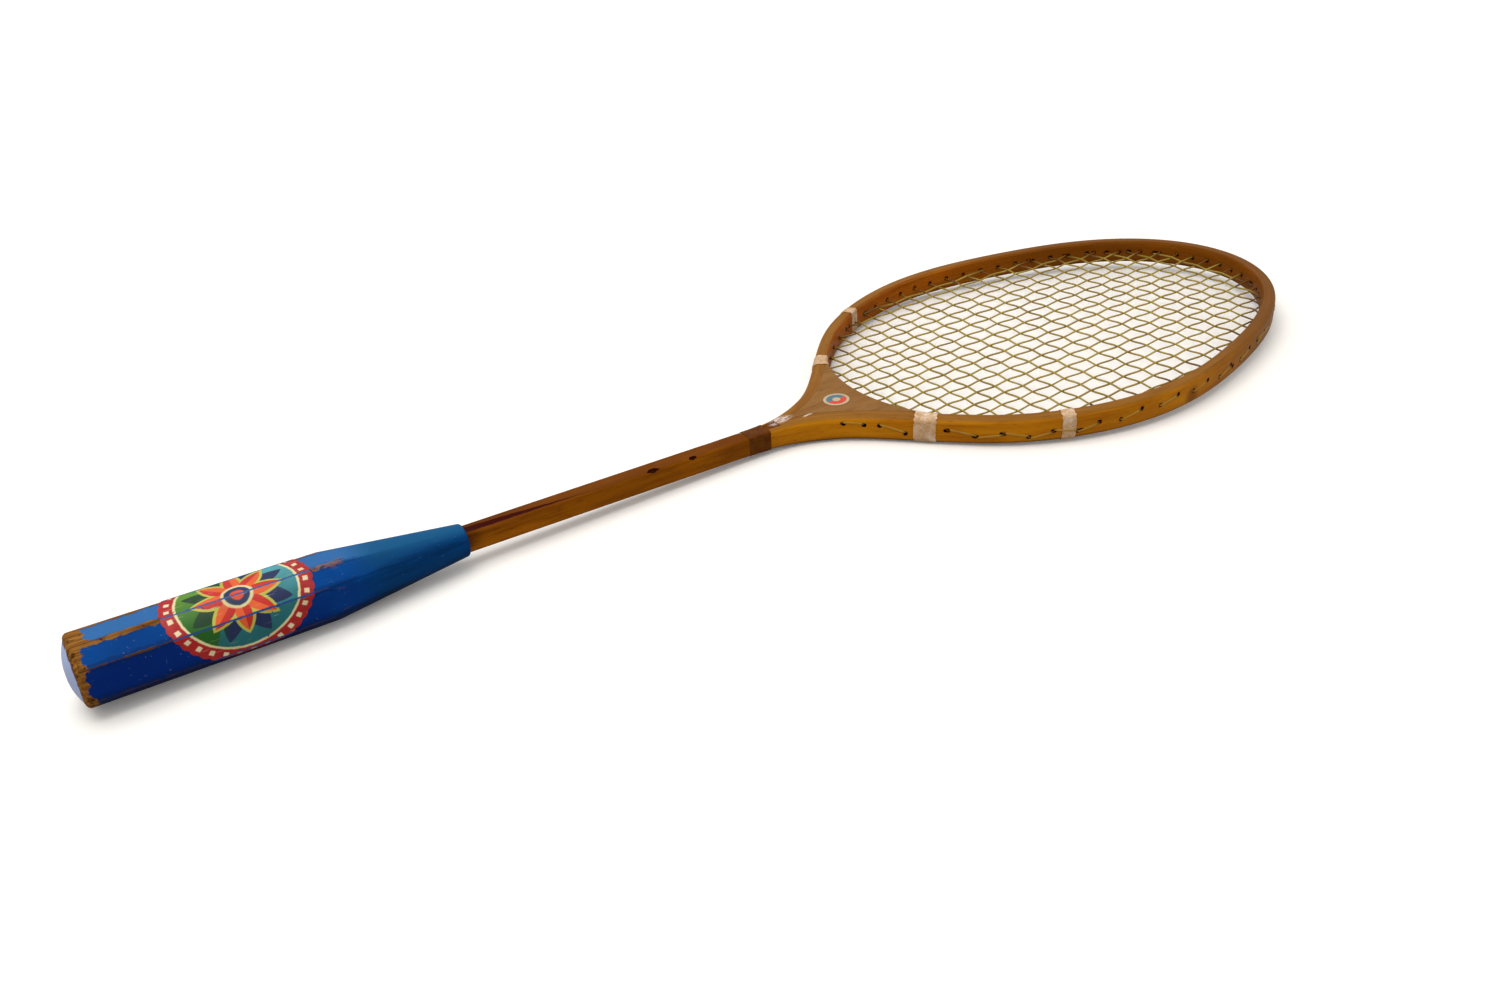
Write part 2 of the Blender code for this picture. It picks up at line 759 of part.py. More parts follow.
wrap_core = wrap("wrap_core", GAP, CUTTERS)
for place_name, (start, width) in zip(("shoulder", "side"), TAPES):
    for side_name, side in (("near", -1), ("far", 1)):
        tape = wrap(f"{place_name}_tape_{side_name}", TAPE_RISE, PARTS)
        slab = tape_slab(f"{tape.name}_slab", side, start, width)
        boolean(tape, slab, "INTERSECT")
        boolean(tape, wrap_core)
        drill(tape)
        set_head(tape)
        paint(tape, (0.60, 0.45, 0.30), 0.35)


# Paper label folded over the flats of the handle
def label_corners():
    """The label's corners round one half of the handle's section, a gap off its flats, from the top."""
    run = Vector((half_width - TOP_FLAT / 2, half_height - SIDE_FLAT / 2))
    normal = Vector((run.y, run.x)).normalized()
    reach = normal @ Vector((half_width, SIDE_FLAT / 2)) + GAP
    top, side = half_height + GAP, half_width + GAP
    upper = Vector(((reach - normal.y * top) / normal.x, top))
    lower = Vector((side, (reach - normal.x * side) / normal.y))
    return [Vector((0, top)), upper, lower, Vector((side, -lower.y)), Vector((upper.x, -top))]


LABEL_CORNERS = label_corners()
FOLDS = np.cumsum([(end - start).length for start, end in zip(LABEL_CORNERS, LABEL_CORNERS[1:])])


def folded(across):
    """A point round the handle's section, from the distance round it."""
    flat = int(np.searchsorted(FOLDS, abs(across)))
    start, end = LABEL_CORNERS[flat:flat + 2]
    point = end.lerp(start, (FOLDS[flat] - abs(across)) / (end - start).length)
    return math.copysign(point.x, across), point.y


label_shape = bmesh.new()
bmesh.ops.create_circle(
    label_shape, cap_ends=True, segments=LABEL_STEPS, radius=LABEL_RADIUS,
    matrix=Matrix.Translation((LABEL_CENTRE, -LABEL_SHIFT, 0)),
)
for fold in FOLDS[:-1]:
    for level in (-fold, fold):
        bmesh.ops.bisect_plane(
            label_shape, geom=label_shape.verts[:] + label_shape.edges[:] + label_shape.faces[:],
            dist=WELD, plane_co=(0, level, 0), plane_no=(0, 1, 0),
        )
for vertex in label_shape.verts:
    y, z = folded(vertex.co.y)
    shrink = handle_scale(vertex.co.x)
    vertex.co = (vertex.co.x, y * shrink, z * shrink)
handle_label = solid_from("handle_label", label_shape)
thick = handle_label.modifiers.new("paper", "SOLIDIFY")
thick.thickness = LABEL_THICKNESS
thick.offset = 1
thick.use_even_offset = True
paint(handle_label, (0.55, 0.07, 0.03), 0.5)

# Round sticker on the wedge
roundel_shape = bmesh.new()
roundel_z = DEPTH / 2 + GAP + ROUNDEL_THICKNESS / 2
bmesh.ops.create_cone(
    roundel_shape, cap_ends=True, segments=ROUNDEL_STEPS, radius1=ROUNDEL_RADIUS,
    radius2=ROUNDEL_RADIUS, depth=ROUNDEL_THICKNESS,
    matrix=Matrix.Translation((WEDGE_X - ROUNDEL_BACK, 0, roundel_z)),
)
throat_roundel = solid_from("throat_roundel", roundel_shape)
set_head(throat_roundel)
paint(throat_roundel, (0.70, 0.64, 0.48), 0.45)
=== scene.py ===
import math

import bpy
import numpy as np
from mathutils import Matrix, Vector


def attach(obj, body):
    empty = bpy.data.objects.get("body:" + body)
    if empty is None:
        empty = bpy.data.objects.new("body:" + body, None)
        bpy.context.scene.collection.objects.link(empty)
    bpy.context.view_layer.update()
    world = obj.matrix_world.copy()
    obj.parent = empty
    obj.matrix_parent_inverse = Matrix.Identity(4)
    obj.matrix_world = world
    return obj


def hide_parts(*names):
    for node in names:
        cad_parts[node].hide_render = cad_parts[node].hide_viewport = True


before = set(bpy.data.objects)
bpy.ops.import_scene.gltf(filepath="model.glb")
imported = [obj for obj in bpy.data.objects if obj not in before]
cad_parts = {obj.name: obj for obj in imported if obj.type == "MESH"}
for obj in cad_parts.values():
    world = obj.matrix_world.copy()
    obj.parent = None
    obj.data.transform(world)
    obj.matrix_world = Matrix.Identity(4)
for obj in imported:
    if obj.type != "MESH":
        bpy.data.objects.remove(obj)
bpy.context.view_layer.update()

# The white table that the racket lies on. The racket touches it with the front of its grip and with
# the two tapes at its shoulders, so the table slopes a little against the shaft. Its far parts glow
# toward the camera, which keeps them as white as the photograph's.
BUTT_X = -0.32665
AXIS_Z = 0.01414
GRIP_CONTACT = (BUTT_X + 0.115, 0.00045)
SHOULDER_CONTACT = (BUTT_X + 0.381, 0.00855)
TABLE_SIZE = 12.0
TABLE_SHADE = (0.46, 0.44, 0.40, 1)
TABLE_WHITE = (0.94, 0.905, 0.85, 1)
table_slope = math.atan2(
    SHOULDER_CONTACT[1] - GRIP_CONTACT[1], SHOULDER_CONTACT[0] - GRIP_CONTACT[0]
)


def feed(socket, given):
    """Link another node's output to the socket, or set the socket's plain value."""
    if isinstance(given, bpy.types.NodeSocket):
        socket.id_data.links.new(given, socket)
    else:
        socket.default_value = given


def feed_all(node, **given):
    """Feed a node's inputs by name, with underscores for the spaces."""
    for name, source in given.items():
        feed(node.inputs[name.replace("_", " ")], source)


def put(kind, inputs, tree=None, **settings):
    """Add a node to the tree, or else to the one its inputs come from, and return its outputs."""
    if tree is None:
        tree = next(given.id_data for given in inputs.values()
                    if isinstance(given, bpy.types.NodeSocket))
    made = tree.nodes.new("ShaderNode" + kind)
    for name, setting in settings.items():
        setattr(made, name, setting)
    for name, given in inputs.items():
        feed(made.inputs[name], given)
    return made.outputs


def value(operation, *inputs, clamp=False):
    """The result of a Math node."""
    return put("Math", dict(enumerate(inputs)), operation=operation, use_clamp=clamp)[0]


def times(first, second, clamp=False):
    return value("MULTIPLY", first, second, clamp=clamp)


def ramp(amount, low, high, at_low, at_high):
    """A straight ramp of values while the amount goes from low to high."""
    return put("MapRange", {"Value": amount, "From Min": low, "From Max": high,
                            "To Min": at_low, "To Max": at_high})["Result"]


def new_finish(name, **constants):
    """A material with its node tree, its shader with plain values set, and Object coordinates."""
    made = bpy.data.materials.new(name)
    made.use_nodes = True
    shader = made.node_tree.nodes["Principled BSDF"]
    feed_all(shader, **constants)
    surface = put("TexCoord", {}, made.node_tree)["Object"]
    return made, made.node_tree, shader, surface


bpy.ops.object.select_all(action="DESELECT")
bpy.ops.mesh.primitive_plane_add(
    size=TABLE_SIZE, location=(GRIP_CONTACT[0], 0, GRIP_CONTACT[1]), rotation=(0, -table_slope, 0),
)
table_top = bpy.context.object
table_top.name = "table_top"
white, tree, shader, surface = new_finish("white_table", Roughness=0.7, Emission_Strength=0.4)
camera_ray = put("LightPath", {}, tree)["Is Camera Ray"]
table_white = put("Mix", {0: camera_ray, 6: TABLE_SHADE, 7: TABLE_WHITE}, data_type="RGBA")[2]
from_grip = put("VectorMath", {0: surface}, operation="LENGTH")["Value"]
far_white = times(camera_ray, ramp(from_grip, 0.55, 1.2, 0.19, 1.0))
feed_all(shader, Base_Color=table_white, Emission_Color=far_white)
table_top.data.materials.append(white)

# Plain soft studio light: a large lamp above the grip, and a surround that pales upward.
LAMP_SIZE = (1.7, 1.3)
LAMP_POWER = 20
LAMP_PLACE = (-0.45, 0.15, 2.0)
world = bpy.data.worlds.new("studio")
bpy.context.scene.world = world
world.use_nodes = True
sky = world.node_tree
upward = put("SeparateXYZ", {0: put("TexCoord", {}, sky)["Generated"]})[2]
camera_ray = put("LightPath", {}, sky)["Is Camera Ray"]
dome_light = value("MAXIMUM", ramp(upward, 0.0, 0.9, 0.32, 1.0), camera_ray)
feed_all(sky.nodes["Background"], Color=(1, 1, 1, 1), Strength=dome_light)
lamp = bpy.data.lights.new("window", "AREA")
lamp.shape = "RECTANGLE"
lamp.size, lamp.size_y = LAMP_SIZE
lamp.energy = LAMP_POWER
window = bpy.data.objects.new("window", lamp)
bpy.context.scene.collection.objects.link(window)
window.location = LAMP_PLACE
window.rotation_euler = (Vector((0, 0, 0)) - window.location).to_track_quat("-Z", "Y").to_euler()

# Camera where the photographer stood, its focal length in the photograph's pixels.
PHOTO_WIDTH = 1500
PHOTO_FOCAL = 1340.56
SENSOR_WIDTH = 36
CAMERA_PLACE = (0.00196 + BUTT_X, -0.50317, 0.29781 + AXIS_Z)
CAMERA_RIGHT = (0.836, -0.54644, -0.05013)
CAMERA_FORWARD = (0.45707, 0.74397, -0.48744)
camera = bpy.data.cameras.new("camera")
camera.sensor_width = SENSOR_WIDTH
camera.lens = PHOTO_FOCAL * SENSOR_WIDTH / PHOTO_WIDTH
camera.clip_start = 0.01
holder = bpy.data.objects.new("camera", camera)
bpy.context.scene.collection.objects.link(holder)
right = Vector(CAMERA_RIGHT).normalized()
forward = Vector(CAMERA_FORWARD).normalized()
right = (right - right.dot(forward) * forward).normalized()
turn = Matrix((right, right.cross(forward), -forward)).transposed().to_4x4()
holder.matrix_world = Matrix.Translation(CAMERA_PLACE) @ turn
bpy.context.scene.camera = holder
bpy.context.scene.view_settings.view_transform = "Standard"

# Grip. The real one is a wooden block planed to eight flats that taper toward the shaft. Its front
# end is turned to a cone and bored for the shaft's tenon, and its blue paint is rubbed off along
# the edges and chipped away round the butt.
GRIP_LENGTH = 0.162
GRIP_WIDTH = 0.0287
GRIP_HEIGHT = 0.0283
TOP_HALF = 0.0067
SIDE_HALF = 0.0075
GRIP_TAPER = 0.315
BUTT_ROUND = 0.0024
BUTT_DOME = 0.0030
DOME_STEPS = 8
EDGE_SOFTNESS = 0.0004
CONE_LENGTH = 0.052
COLLAR_RADIUS = 0.0075
COLLAR_ROUND = 0.0010
TENON_RADIUS = 0.0038
TENON_LENGTH = 0.045
TENON_ROOM = 0.0003
SPARE = 0.004
slant_run = GRIP_WIDTH / 2 - TOP_HALF
slant_drop = GRIP_HEIGHT / 2 - SIDE_HALF
squash = slant_drop / slant_run
shoulder_radius = GRIP_WIDTH / 2 * (1 - GRIP_TAPER * (GRIP_LENGTH - CONE_LENGTH))
cone_slope = (shoulder_radius - COLLAR_RADIUS) / CONE_LENGTH
front_share = 1 - GRIP_TAPER * (GRIP_LENGTH + SPARE)


def activate(piece):
    bpy.ops.object.select_all(action="DESELECT")
    piece.select_set(True)
    bpy.context.view_layer.objects.active = piece


def start_piece(name, primitive_add, **settings):
    """Add a primitive with nothing else selected, name it and move its place into its mesh."""
    bpy.ops.object.select_all(action="DESELECT")
    primitive_add(**settings)
    piece = bpy.context.object
    piece.name = name
    piece.data.name = name
    bpy.ops.object.transform_apply(location=True, rotation=True, scale=True)
    return piece


def pick(piece, mode, wanted):
    """Open the piece in edit mode with the points, edges or faces selected that wanted() takes."""
    activate(piece)
    bpy.ops.object.mode_set(mode="EDIT")
    bpy.ops.mesh.select_mode(type=mode)
    bpy.ops.mesh.select_all(action="DESELECT")
    bpy.ops.object.mode_set(mode="OBJECT")
    mesh = piece.data
    if mode == "VERT":
        for vertex in mesh.vertices:
            vertex.select = wanted([vertex.co])
    else:
        for item in mesh.edges if mode == "EDGE" else mesh.polygons:
            item.select = wanted([mesh.vertices[i].co for i in item.vertices])
    bpy.ops.object.mode_set(mode="EDIT")


def close_edit():
    bpy.ops.object.mode_set(mode="OBJECT")


def apply_step(piece, kind, **settings):
    """Put a modifier on the piece and apply it."""
    step = piece.modifiers.new(kind.lower(), kind)
    for name, setting in settings.items():
        setattr(step, name, setting)
    activate(piece)
    bpy.ops.object.modifier_apply(modifier=step.name)


def cut(piece, tool, operation="DIFFERENCE", keep_tool=False):
    apply_step(piece, "BOOLEAN", operation=operation, solver="EXACT", object=tool,
               material_mode="TRANSFER")
    if not keep_tool:
        bpy.data.objects.remove(tool)


def soften(piece, degrees):
    """Shade the piece smooth where its faces meet at less than those degrees."""
    activate(piece)
    bpy.ops.object.shade_smooth_by_angle(angle=math.radians(degrees))


def round_tenon(name, radius):
    """The shape of the shaft's tenon, for the tenon itself and for its bore."""
    return start_piece(
        name, bpy.ops.mesh.primitive_cylinder_add,
        vertices=32, radius=radius, depth=TENON_LENGTH + SPARE,
        location=(BUTT_X + GRIP_LENGTH - TENON_LENGTH / 2 + SPARE / 2, 0, AXIS_Z),
        rotation=(0, math.pi / 2, 0),
    )


grip = start_piece(
    "grip", bpy.ops.mesh.primitive_cube_add,
    size=1, location=(BUTT_X + (GRIP_LENGTH + SPARE) / 2, 0, AXIS_Z),
    scale=(GRIP_LENGTH + SPARE, GRIP_WIDTH, GRIP_HEIGHT / squash),
)
pick(grip, "EDGE", lambda ends: abs(ends[0].x - ends[1].x) > GRIP_LENGTH / 2)
bpy.ops.mesh.bevel(offset=slant_run, segments=1, affect="EDGES")
bpy.ops.mesh.select_all(action="SELECT")
bpy.ops.transform.resize(value=(1, 1, squash), center_override=(0, 0, AXIS_Z))
close_edit()
pick(grip, "VERT", lambda ends: ends[0].x > BUTT_X + GRIP_LENGTH / 2)
bpy.ops.transform.resize(value=(1, front_share, front_share), center_override=(0, 0, AXIS_Z))
close_edit()
pick(grip, "EDGE", lambda ends: max(end.x for end in ends) < BUTT_X + EDGE_SOFTNESS)
bpy.ops.mesh.bevel(offset=BUTT_ROUND, segments=4, affect="EDGES")
close_edit()
pick(grip, "FACE", lambda ends: max(end.x for end in ends) < BUTT_X + 1e-6)
for ring in range(1, DOME_STEPS):
    climb = (1 - (ring - 1) / DOME_STEPS) ** 2 - (1 - ring / DOME_STEPS) ** 2
    bpy.ops.mesh.inset(thickness=(GRIP_HEIGHT / 2 - BUTT_ROUND) / DOME_STEPS,
                       depth=BUTT_DOME * climb / (1 - 1 / DOME_STEPS**2))
close_edit()
pick(grip, "EDGE", lambda ends: abs(ends[0].x - ends[1].x) > GRIP_LENGTH / 2)
bpy.ops.mesh.bevel(offset=EDGE_SOFTNESS, segments=3, affect="EDGES")
close_edit()
turned_cone = start_piece(
    "turned_cone", bpy.ops.mesh.primitive_cone_add,
    vertices=128, depth=GRIP_LENGTH + SPARE,
    radius1=COLLAR_RADIUS + cone_slope * (GRIP_LENGTH + SPARE), radius2=COLLAR_RADIUS,
    location=(BUTT_X + (GRIP_LENGTH - SPARE) / 2, 0, AXIS_Z), rotation=(0, math.pi / 2, 0),
)
cut(grip, turned_cone, "INTERSECT")
pick(grip, "EDGE", lambda ends: min(end.x for end in ends) > BUTT_X + GRIP_LENGTH - 0.0002)
bpy.ops.mesh.bevel(offset=COLLAR_ROUND, segments=4, affect="EDGES")
close_edit()
cut(grip, round_tenon("tenon_bore", TENON_RADIUS + TENON_ROOM))
soften(grip, 20)
apply_step(grip, "WEIGHTED_NORMAL", keep_sharp=True)


def minus(first, second):
    return value("SUBTRACT", first, second)


def scaled(amount, factor, shift):
    """The amount times a factor, with a shift added."""
    return value("MULTIPLY_ADD", amount, factor, shift)


def distance(across, along):
    """The length of a flat arrow from its two parts."""
    return value("SQRT", scaled(across, across, times(along, along)))


def between(amount, low, high):
    """0 where the amount is at low, 1 where it is at high, and a soft step between them."""
    return put("MapRange", {"Value": amount, "From Min": low, "From Max": high},
               interpolation_type="SMOOTHSTEP")["Result"]


def parts(vector):
    return put("SeparateXYZ", {0: vector})


def facing_up(tree):
    return parts(put("NewGeometry", {}, tree)["Normal"])[2]


def colour(red, green, blue):
    """A colour as a paint chart gives it, 0 to 255, turned to the linear values of a shader."""
    shares = [share / 255 for share in (red, green, blue)]
    return [s / 12.92 if s < 0.04045 else ((s + 0.055) / 1.055) ** 2.4 for s in shares] + [1]


def mixed(share, first, second, mode="MIX"):
    """The second colour laid over the first. Either may be three numbers from a paint chart."""
    first, second = (colour(*tone) if isinstance(tone, tuple) else tone for tone in (first, second))
    return put("Mix", {0: share, 6: first, 7: second}, data_type="RGBA", blend_type=mode)[2]


def tinted(base, share, strength, tone):
    """The base with a tone laid over it where the share is 1, at the most with that strength."""
    return mixed(times(share, strength), base, tone)


def stretched(vector, scale, shift=(0, 0, 0)):
    return put("Mapping", {"Vector": vector, "Scale": scale, "Location": shift})[0]


def cloud(vector, scale, detail=2.0, roughness=0.5, distortion=0.0, shift=(0, 0, 0)):
    """Noise of that scale, which is one number, or three for noise stretched along the axes."""
    if isinstance(scale, tuple):
        vector, scale = stretched(vector, scale, shift), 1.0
    return put("TexNoise", {"Vector": vector, "Scale": scale, "Detail": detail,
                            "Roughness": roughness, "Distortion": distortion})["Fac"]


def bumps(height, depth):
    return put("Bump", {"Height": height, "Distance": depth, "Strength": 1.0})[0]


def new_effect(name, outputs, inputs=()):
    """A node group with its input and output nodes."""
    group = bpy.data.node_groups.new(name, "ShaderNodeTree")
    for title in inputs:
        group.interface.new_socket(title, in_out="INPUT", socket_type="NodeSocketVector")
    for title in outputs:
        group.interface.new_socket(title, in_out="OUTPUT", socket_type="NodeSocketFloat")
    return group, group.nodes.new("NodeGroupInput"), group.nodes.new("NodeGroupOutput")


# Distances on the grip that its paint and its label both wear by: along it from the butt, to the
# nearest of its long edges, and to where its flats run out into the cone.
grip_edges, _, edges_out = new_effect("grip_edges", ("Along", "Edge", "Upper Edge", "Runout"))
place = parts(put("TexCoord", {}, grip_edges)["Object"])
along = minus(place[0], BUTT_X)
share = scaled(along, -GRIP_TAPER, 1.0)
height = minus(place[2], AXIS_Z)
wide = value("DIVIDE", value("ABSOLUTE", place[1]), share)
tall = value("DIVIDE", value("ABSOLUTE", height), share)
from_edges = [
    distance(minus(wide, corner_y), minus(tall, corner_z))
    for corner_y, corner_z in ((TOP_HALF, GRIP_HEIGHT / 2), (GRIP_WIDTH / 2, SIDE_HALF))
]
slant = Vector((slant_drop, slant_run)).normalized()
slant_reach = slant.x * GRIP_WIDTH / 2 + slant.y * SIDE_HALF
slanted = scaled(wide, slant.x / slant_reach, times(tall, slant.y / slant_reach))
flats = value("MAXIMUM", slanted, value(
    "MAXIMUM", value("DIVIDE", wide, GRIP_WIDTH / 2), value("DIVIDE", tall, GRIP_HEIGHT / 2)))
turned = scaled(along, -cone_slope, COLLAR_RADIUS + cone_slope * GRIP_LENGTH)
off_cone = minus(1.0, value("DIVIDE", distance(place[1], height), turned))
feed_all(edges_out, Along=along, Edge=value("MINIMUM", *from_edges), Upper_Edge=from_edges[0],
         Runout=value("ADD", off_cone, minus(1.0, flats)))

# Wood fibres, used by every wooden piece: broad streaks, fine fibres and short dark pores that all
# run along the first axis of the vector they are given.
wood_fibres, fibres_in, fibres_out = new_effect(
    "wood_fibres", ("Streaks", "Fibres", "Pores"), ("Vector",)
)
laid = fibres_in.outputs["Vector"]
feed_all(
    fibres_out,
    Streaks=between(cloud(laid, (9, 150, 150), 3.0, 0.55, 0.4), 0.32, 0.68),
    Fibres=between(cloud(laid, (38, 900, 900), 4.0, 0.65, 0.2), 0.3, 0.7),
    Pores=between(cloud(laid, (170, 2100, 2100), 1.0, shift=(3, 1, 2)), 0.66, 0.74),
)

grip_paint, tree, shader, surface = new_finish("worn_blue_paint", Coat_Roughness=0.3,
                                               Specular_IOR_Level=0.03)
edges = put("Group", {}, tree, node_tree=grip_edges)
along = edges["Along"]
grain = put("Group", {"Vector": surface}, node_tree=wood_fibres)
patchy = cloud(surface, 260.0, 4.0, 0.65)
slow = cloud(surface, 38.0)
brushed = cloud(surface, (30, 260, 260), 3.0, 0.6, 0.3)
facing = facing_up(tree)

# The paint, with painted light and sheen making the top flat paler, painted shade darkening the
# sides and the underside, and the cone's own darker paint with painted light on its top
paint = mixed(between(slow, 0.35, 0.7), (0, 68, 140), (0, 54, 122))
# Painted light and sheen: the upward-facing top flat is tinted paler.
paint = tinted(paint, between(facing, 0.75, 0.97), 0.75, (56, 110, 164))
# Painted shade: the sides and lower flats, facing away from the lamp, are tinted darker, less so
# toward the cone.
painted_side_shade = scaled(between(along, 0.075, 0.105), -0.45, 0.8)
paint = tinted(paint, between(facing, 0.5, 0.0), painted_side_shade, (0, 34, 114))
cone_paint = mixed(between(brushed, 0.35, 0.75), (0, 58, 112), (0, 44, 88))
# Painted light: the cone's upward-facing top is tinted a paler teal.
cone_paint = tinted(cone_paint, between(facing, 0.58, 0.96), 0.8, (24, 88, 130))
on_cone = between(along, 0.104, 0.124)
paint = mixed(on_cone, paint, cone_paint)
# Painted shade: the grip is darkened toward its underside, below its middle, and wear is held back
# there.
painted_underside_shade = between(scaled(slow, 0.003, minus(parts(surface)[2], AXIS_Z)), -0.001, -0.0080)
paint = tinted(paint, painted_underside_shade, 0.6, (0, 9, 32))
butt_face = between(scaled(patchy, 0.0016, along), 0.0009, 0.0004)
paint = mixed(butt_face, paint, (170, 184, 222))

# The wear: along the edges, where the flats run out into the cone, and round the butt
rub = scaled(patchy, -0.0034, 0.0029)
rubbed = between(minus(edges["Upper Edge"], rub), 0.0003, -0.0001)
thin = between(minus(edges["Edge"], scaled(patchy, -0.0016, 0.0011)), 0.0002, -0.0001)
long_wear = times(value("MAXIMUM", rubbed, thin), between(along, 0.128, 0.110))
long_wear = times(long_wear, scaled(painted_underside_shade, -0.8, 1.0))
runout = between(minus(edges["Runout"], scaled(patchy, -0.045, 0.033)), 0.004, -0.002)
runout_reach = times(between(along, 0.100, 0.108), between(along, 0.120, 0.114))
runout_reach = times(runout_reach, between(edges["Edge"], 0.0034, 0.0018))
butt_edge = scaled(cloud(surface, 130.0, 3.0, 0.6), 0.010, -0.0010)
butt_edge = scaled(between(facing, 0.8, 0.97), 0.0032, butt_edge)
butt_wear = between(minus(along, butt_edge), 0.0003, -0.0003)
butt_wear = times(butt_wear, minus(1.0, butt_face))
worn = value("MAXIMUM", long_wear, times(runout, runout_reach))
worn = value("MAXIMUM", worn, butt_wear, clamp=True)
worn = times(worn, scaled(between(along, 0.086, 0.102), -0.35, 1.0))

# The bare wood under it, and the specks, scores and dark rims in what is left of the paint
bare = mixed(grain["Fibres"], (158, 108, 46), (98, 56, 14))
chipped = mixed(between(patchy, 0.5, 0.66), bare, (58, 30, 8))
lower_line = times(thin, between(edges["Upper Edge"], 0.003, 0.006))
chipped = tinted(chipped, lower_line, 0.7, (52, 26, 12))
specks = times(between(cloud(surface, 900.0, 1.0), 0.73, 0.78), minus(1.0, on_cone))
paint = tinted(paint, specks, 0.22, (150, 180, 214))
scores = between(cloud(surface, (120, 2600, 2600)), 0.70, 0.76)
paint = tinted(paint, scores, 0.2, (120, 160, 208))
dark_rim = times(minus(1.0, worn), between(minus(edges["Edge"], rub), 0.0010, 0.0002))
paint = tinted(paint, dark_rim, 0.45, (6, 34, 74))
relief = scaled(worn, -1.0, times(times(patchy, worn), 1.4))
feed_all(shader, Base_Color=mixed(worn, paint, chipped),
         Roughness=scaled(worn, 0.25, scaled(patchy, 0.16, 0.34)),
         Coat_Weight=scaled(worn, -0.02, 0.03),
         Normal=bumps(scaled(brushed, 0.25, relief), 0.00018))
grip.data.materials.clear()
grip.data.materials.append(grip_paint)
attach(grip, "root")
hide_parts("handle")

# Label. The real one is a round printed paper, pasted over six flats of the grip and varnished
# with it. Its scalloped red border frames a plain star on a green and a blue-green ground.
LABEL_RADIUS = 0.0300
LABEL_CENTRE = 0.0640
LABEL_SHIFT = 0.0065
LABEL_SPOKES = 240
LABEL_SLICE = 0.0056
PAPER = 0.00014
PASTE = 0.00006
SCALLOPS = 40
SCALLOP_DEPTH = 0.022
FOLD_SOFTNESS = 0.0005
CREASE_SINK = 0.9925
STAR_POINTS = 8
BEADS = 30
label = start_piece(
    "label", bpy.ops.mesh.primitive_circle_add,
    vertices=LABEL_SPOKES, radius=LABEL_RADIUS, fill_type="NGON",
    location=(LABEL_CENTRE, -LABEL_SHIFT, 0),
)
for vertex in label.data.vertices:
    out = Vector((vertex.co.x - LABEL_CENTRE, vertex.co.y + LABEL_SHIFT))
    wave = abs(math.sin(math.atan2(out.y, out.x) * SCALLOPS / 2))
    out *= 1 + SCALLOP_DEPTH * (wave - 1)
    vertex.co.x = LABEL_CENTRE + out.x
    vertex.co.y = out.y - LABEL_SHIFT
paper_reach = slant_reach + PASTE
paper_top = GRIP_HEIGHT / 2 + PASTE
paper_side = GRIP_WIDTH / 2 + PASTE
upper = Vector(((paper_reach - slant.y * paper_top) / slant.x, paper_top))
lower = Vector((paper_side, (paper_reach - slant.x * paper_side) / slant.y))
corners = [Vector((0, paper_top)), upper, lower, Vector((paper_side, -lower.y)),
           Vector((upper.x, -paper_top))]
creases = np.cumsum([(end - start).length for start, end in zip(corners, corners[1:])])


def fold(across):
    """A point round the grip's section at its butt end, from the distance round it."""
    flat = int(np.searchsorted(creases, abs(across)))
    start, end = corners[flat:flat + 2]
    point = end.lerp(start, (creases[flat] - abs(across)) / (end - start).length)
    return math.copysign(point.x, across), point.y


def slice_at(piece, place, normal):
    """Cut new edges into the whole piece in one plane."""
    pick(piece, "FACE", lambda ends: True)
    bpy.ops.mesh.bisect(plane_co=place, plane_no=normal)
    close_edit()


for crease in creases[:-1]:
    for level in (-crease, crease):
        for step in (-FOLD_SOFTNESS, 0, FOLD_SOFTNESS):
            slice_at(label, (0, level + step, 0), (0, 1, 0))
for step in range(-5, 6):
    slice_at(label, (LABEL_CENTRE + step * LABEL_SLICE, 0, 0), (1, 0, 0))
for old in list(label.data.uv_layers):
    label.data.uv_layers.remove(old)
plan = label.data.uv_layers.new(name="label_plan")
for loop in label.data.loops:
    point = label.data.vertices[loop.vertex_index].co
    plan.data[loop.index].uv = (
        0.5 + (point.x - LABEL_CENTRE) / LABEL_RADIUS / 2,
        0.5 + (point.y + LABEL_SHIFT) / LABEL_RADIUS / 2,
    )
for vertex in label.data.vertices:
    across = vertex.co.y
    y, z = fold(across)
    if min(abs(creases - abs(across))) < 1e-6:
        y, z = y * CREASE_SINK, z * CREASE_SINK
    shrink = 1 - GRIP_TAPER * vertex.co.x
    vertex.co = (BUTT_X + vertex.co.x, y * shrink, AXIS_Z + z * shrink)
apply_step(label, "SOLIDIFY", thickness=PAPER, offset=1.0)
soften(label, 40)

label_print, tree, shader, surface = new_finish("printed_label", Coat_Weight=0.15,
                                                Coat_Roughness=0.22, Specular_IOR_Level=0.25)
plan_map = put("UVMap", {}, tree, uv_map="label_plan")[0]
spot = parts(stretched(plan_map, (2, 2, 0), (-1, -1, 0)))
bearing = value("ARCTAN2", spot[1], spot[0])
edges = put("Group", {}, tree, node_tree=grip_edges)
ink_noise = cloud(surface, 420.0, 3.0, 0.6)
reach = value("ADD", distance(spot[0], spot[1]), scaled(ink_noise, 0.03, -0.015))


def across_ray(count, offset):
    """A value that runs from 0 to 1 across each of evenly spread rays."""
    return value("FRACT", scaled(bearing, count / (2 * math.pi), offset))


def off_ray(count, offset):
    """How far a bearing is from the nearest of evenly spread rays: 0 on a ray, 1 midway."""
    return times(value("ABSOLUTE", minus(across_ray(count, offset), 0.5)), 2.0)


def inside(measure, limit, edge=0.012):
    """1 where the measure is under the limit."""
    return between(minus(measure, limit), edge, -edge)


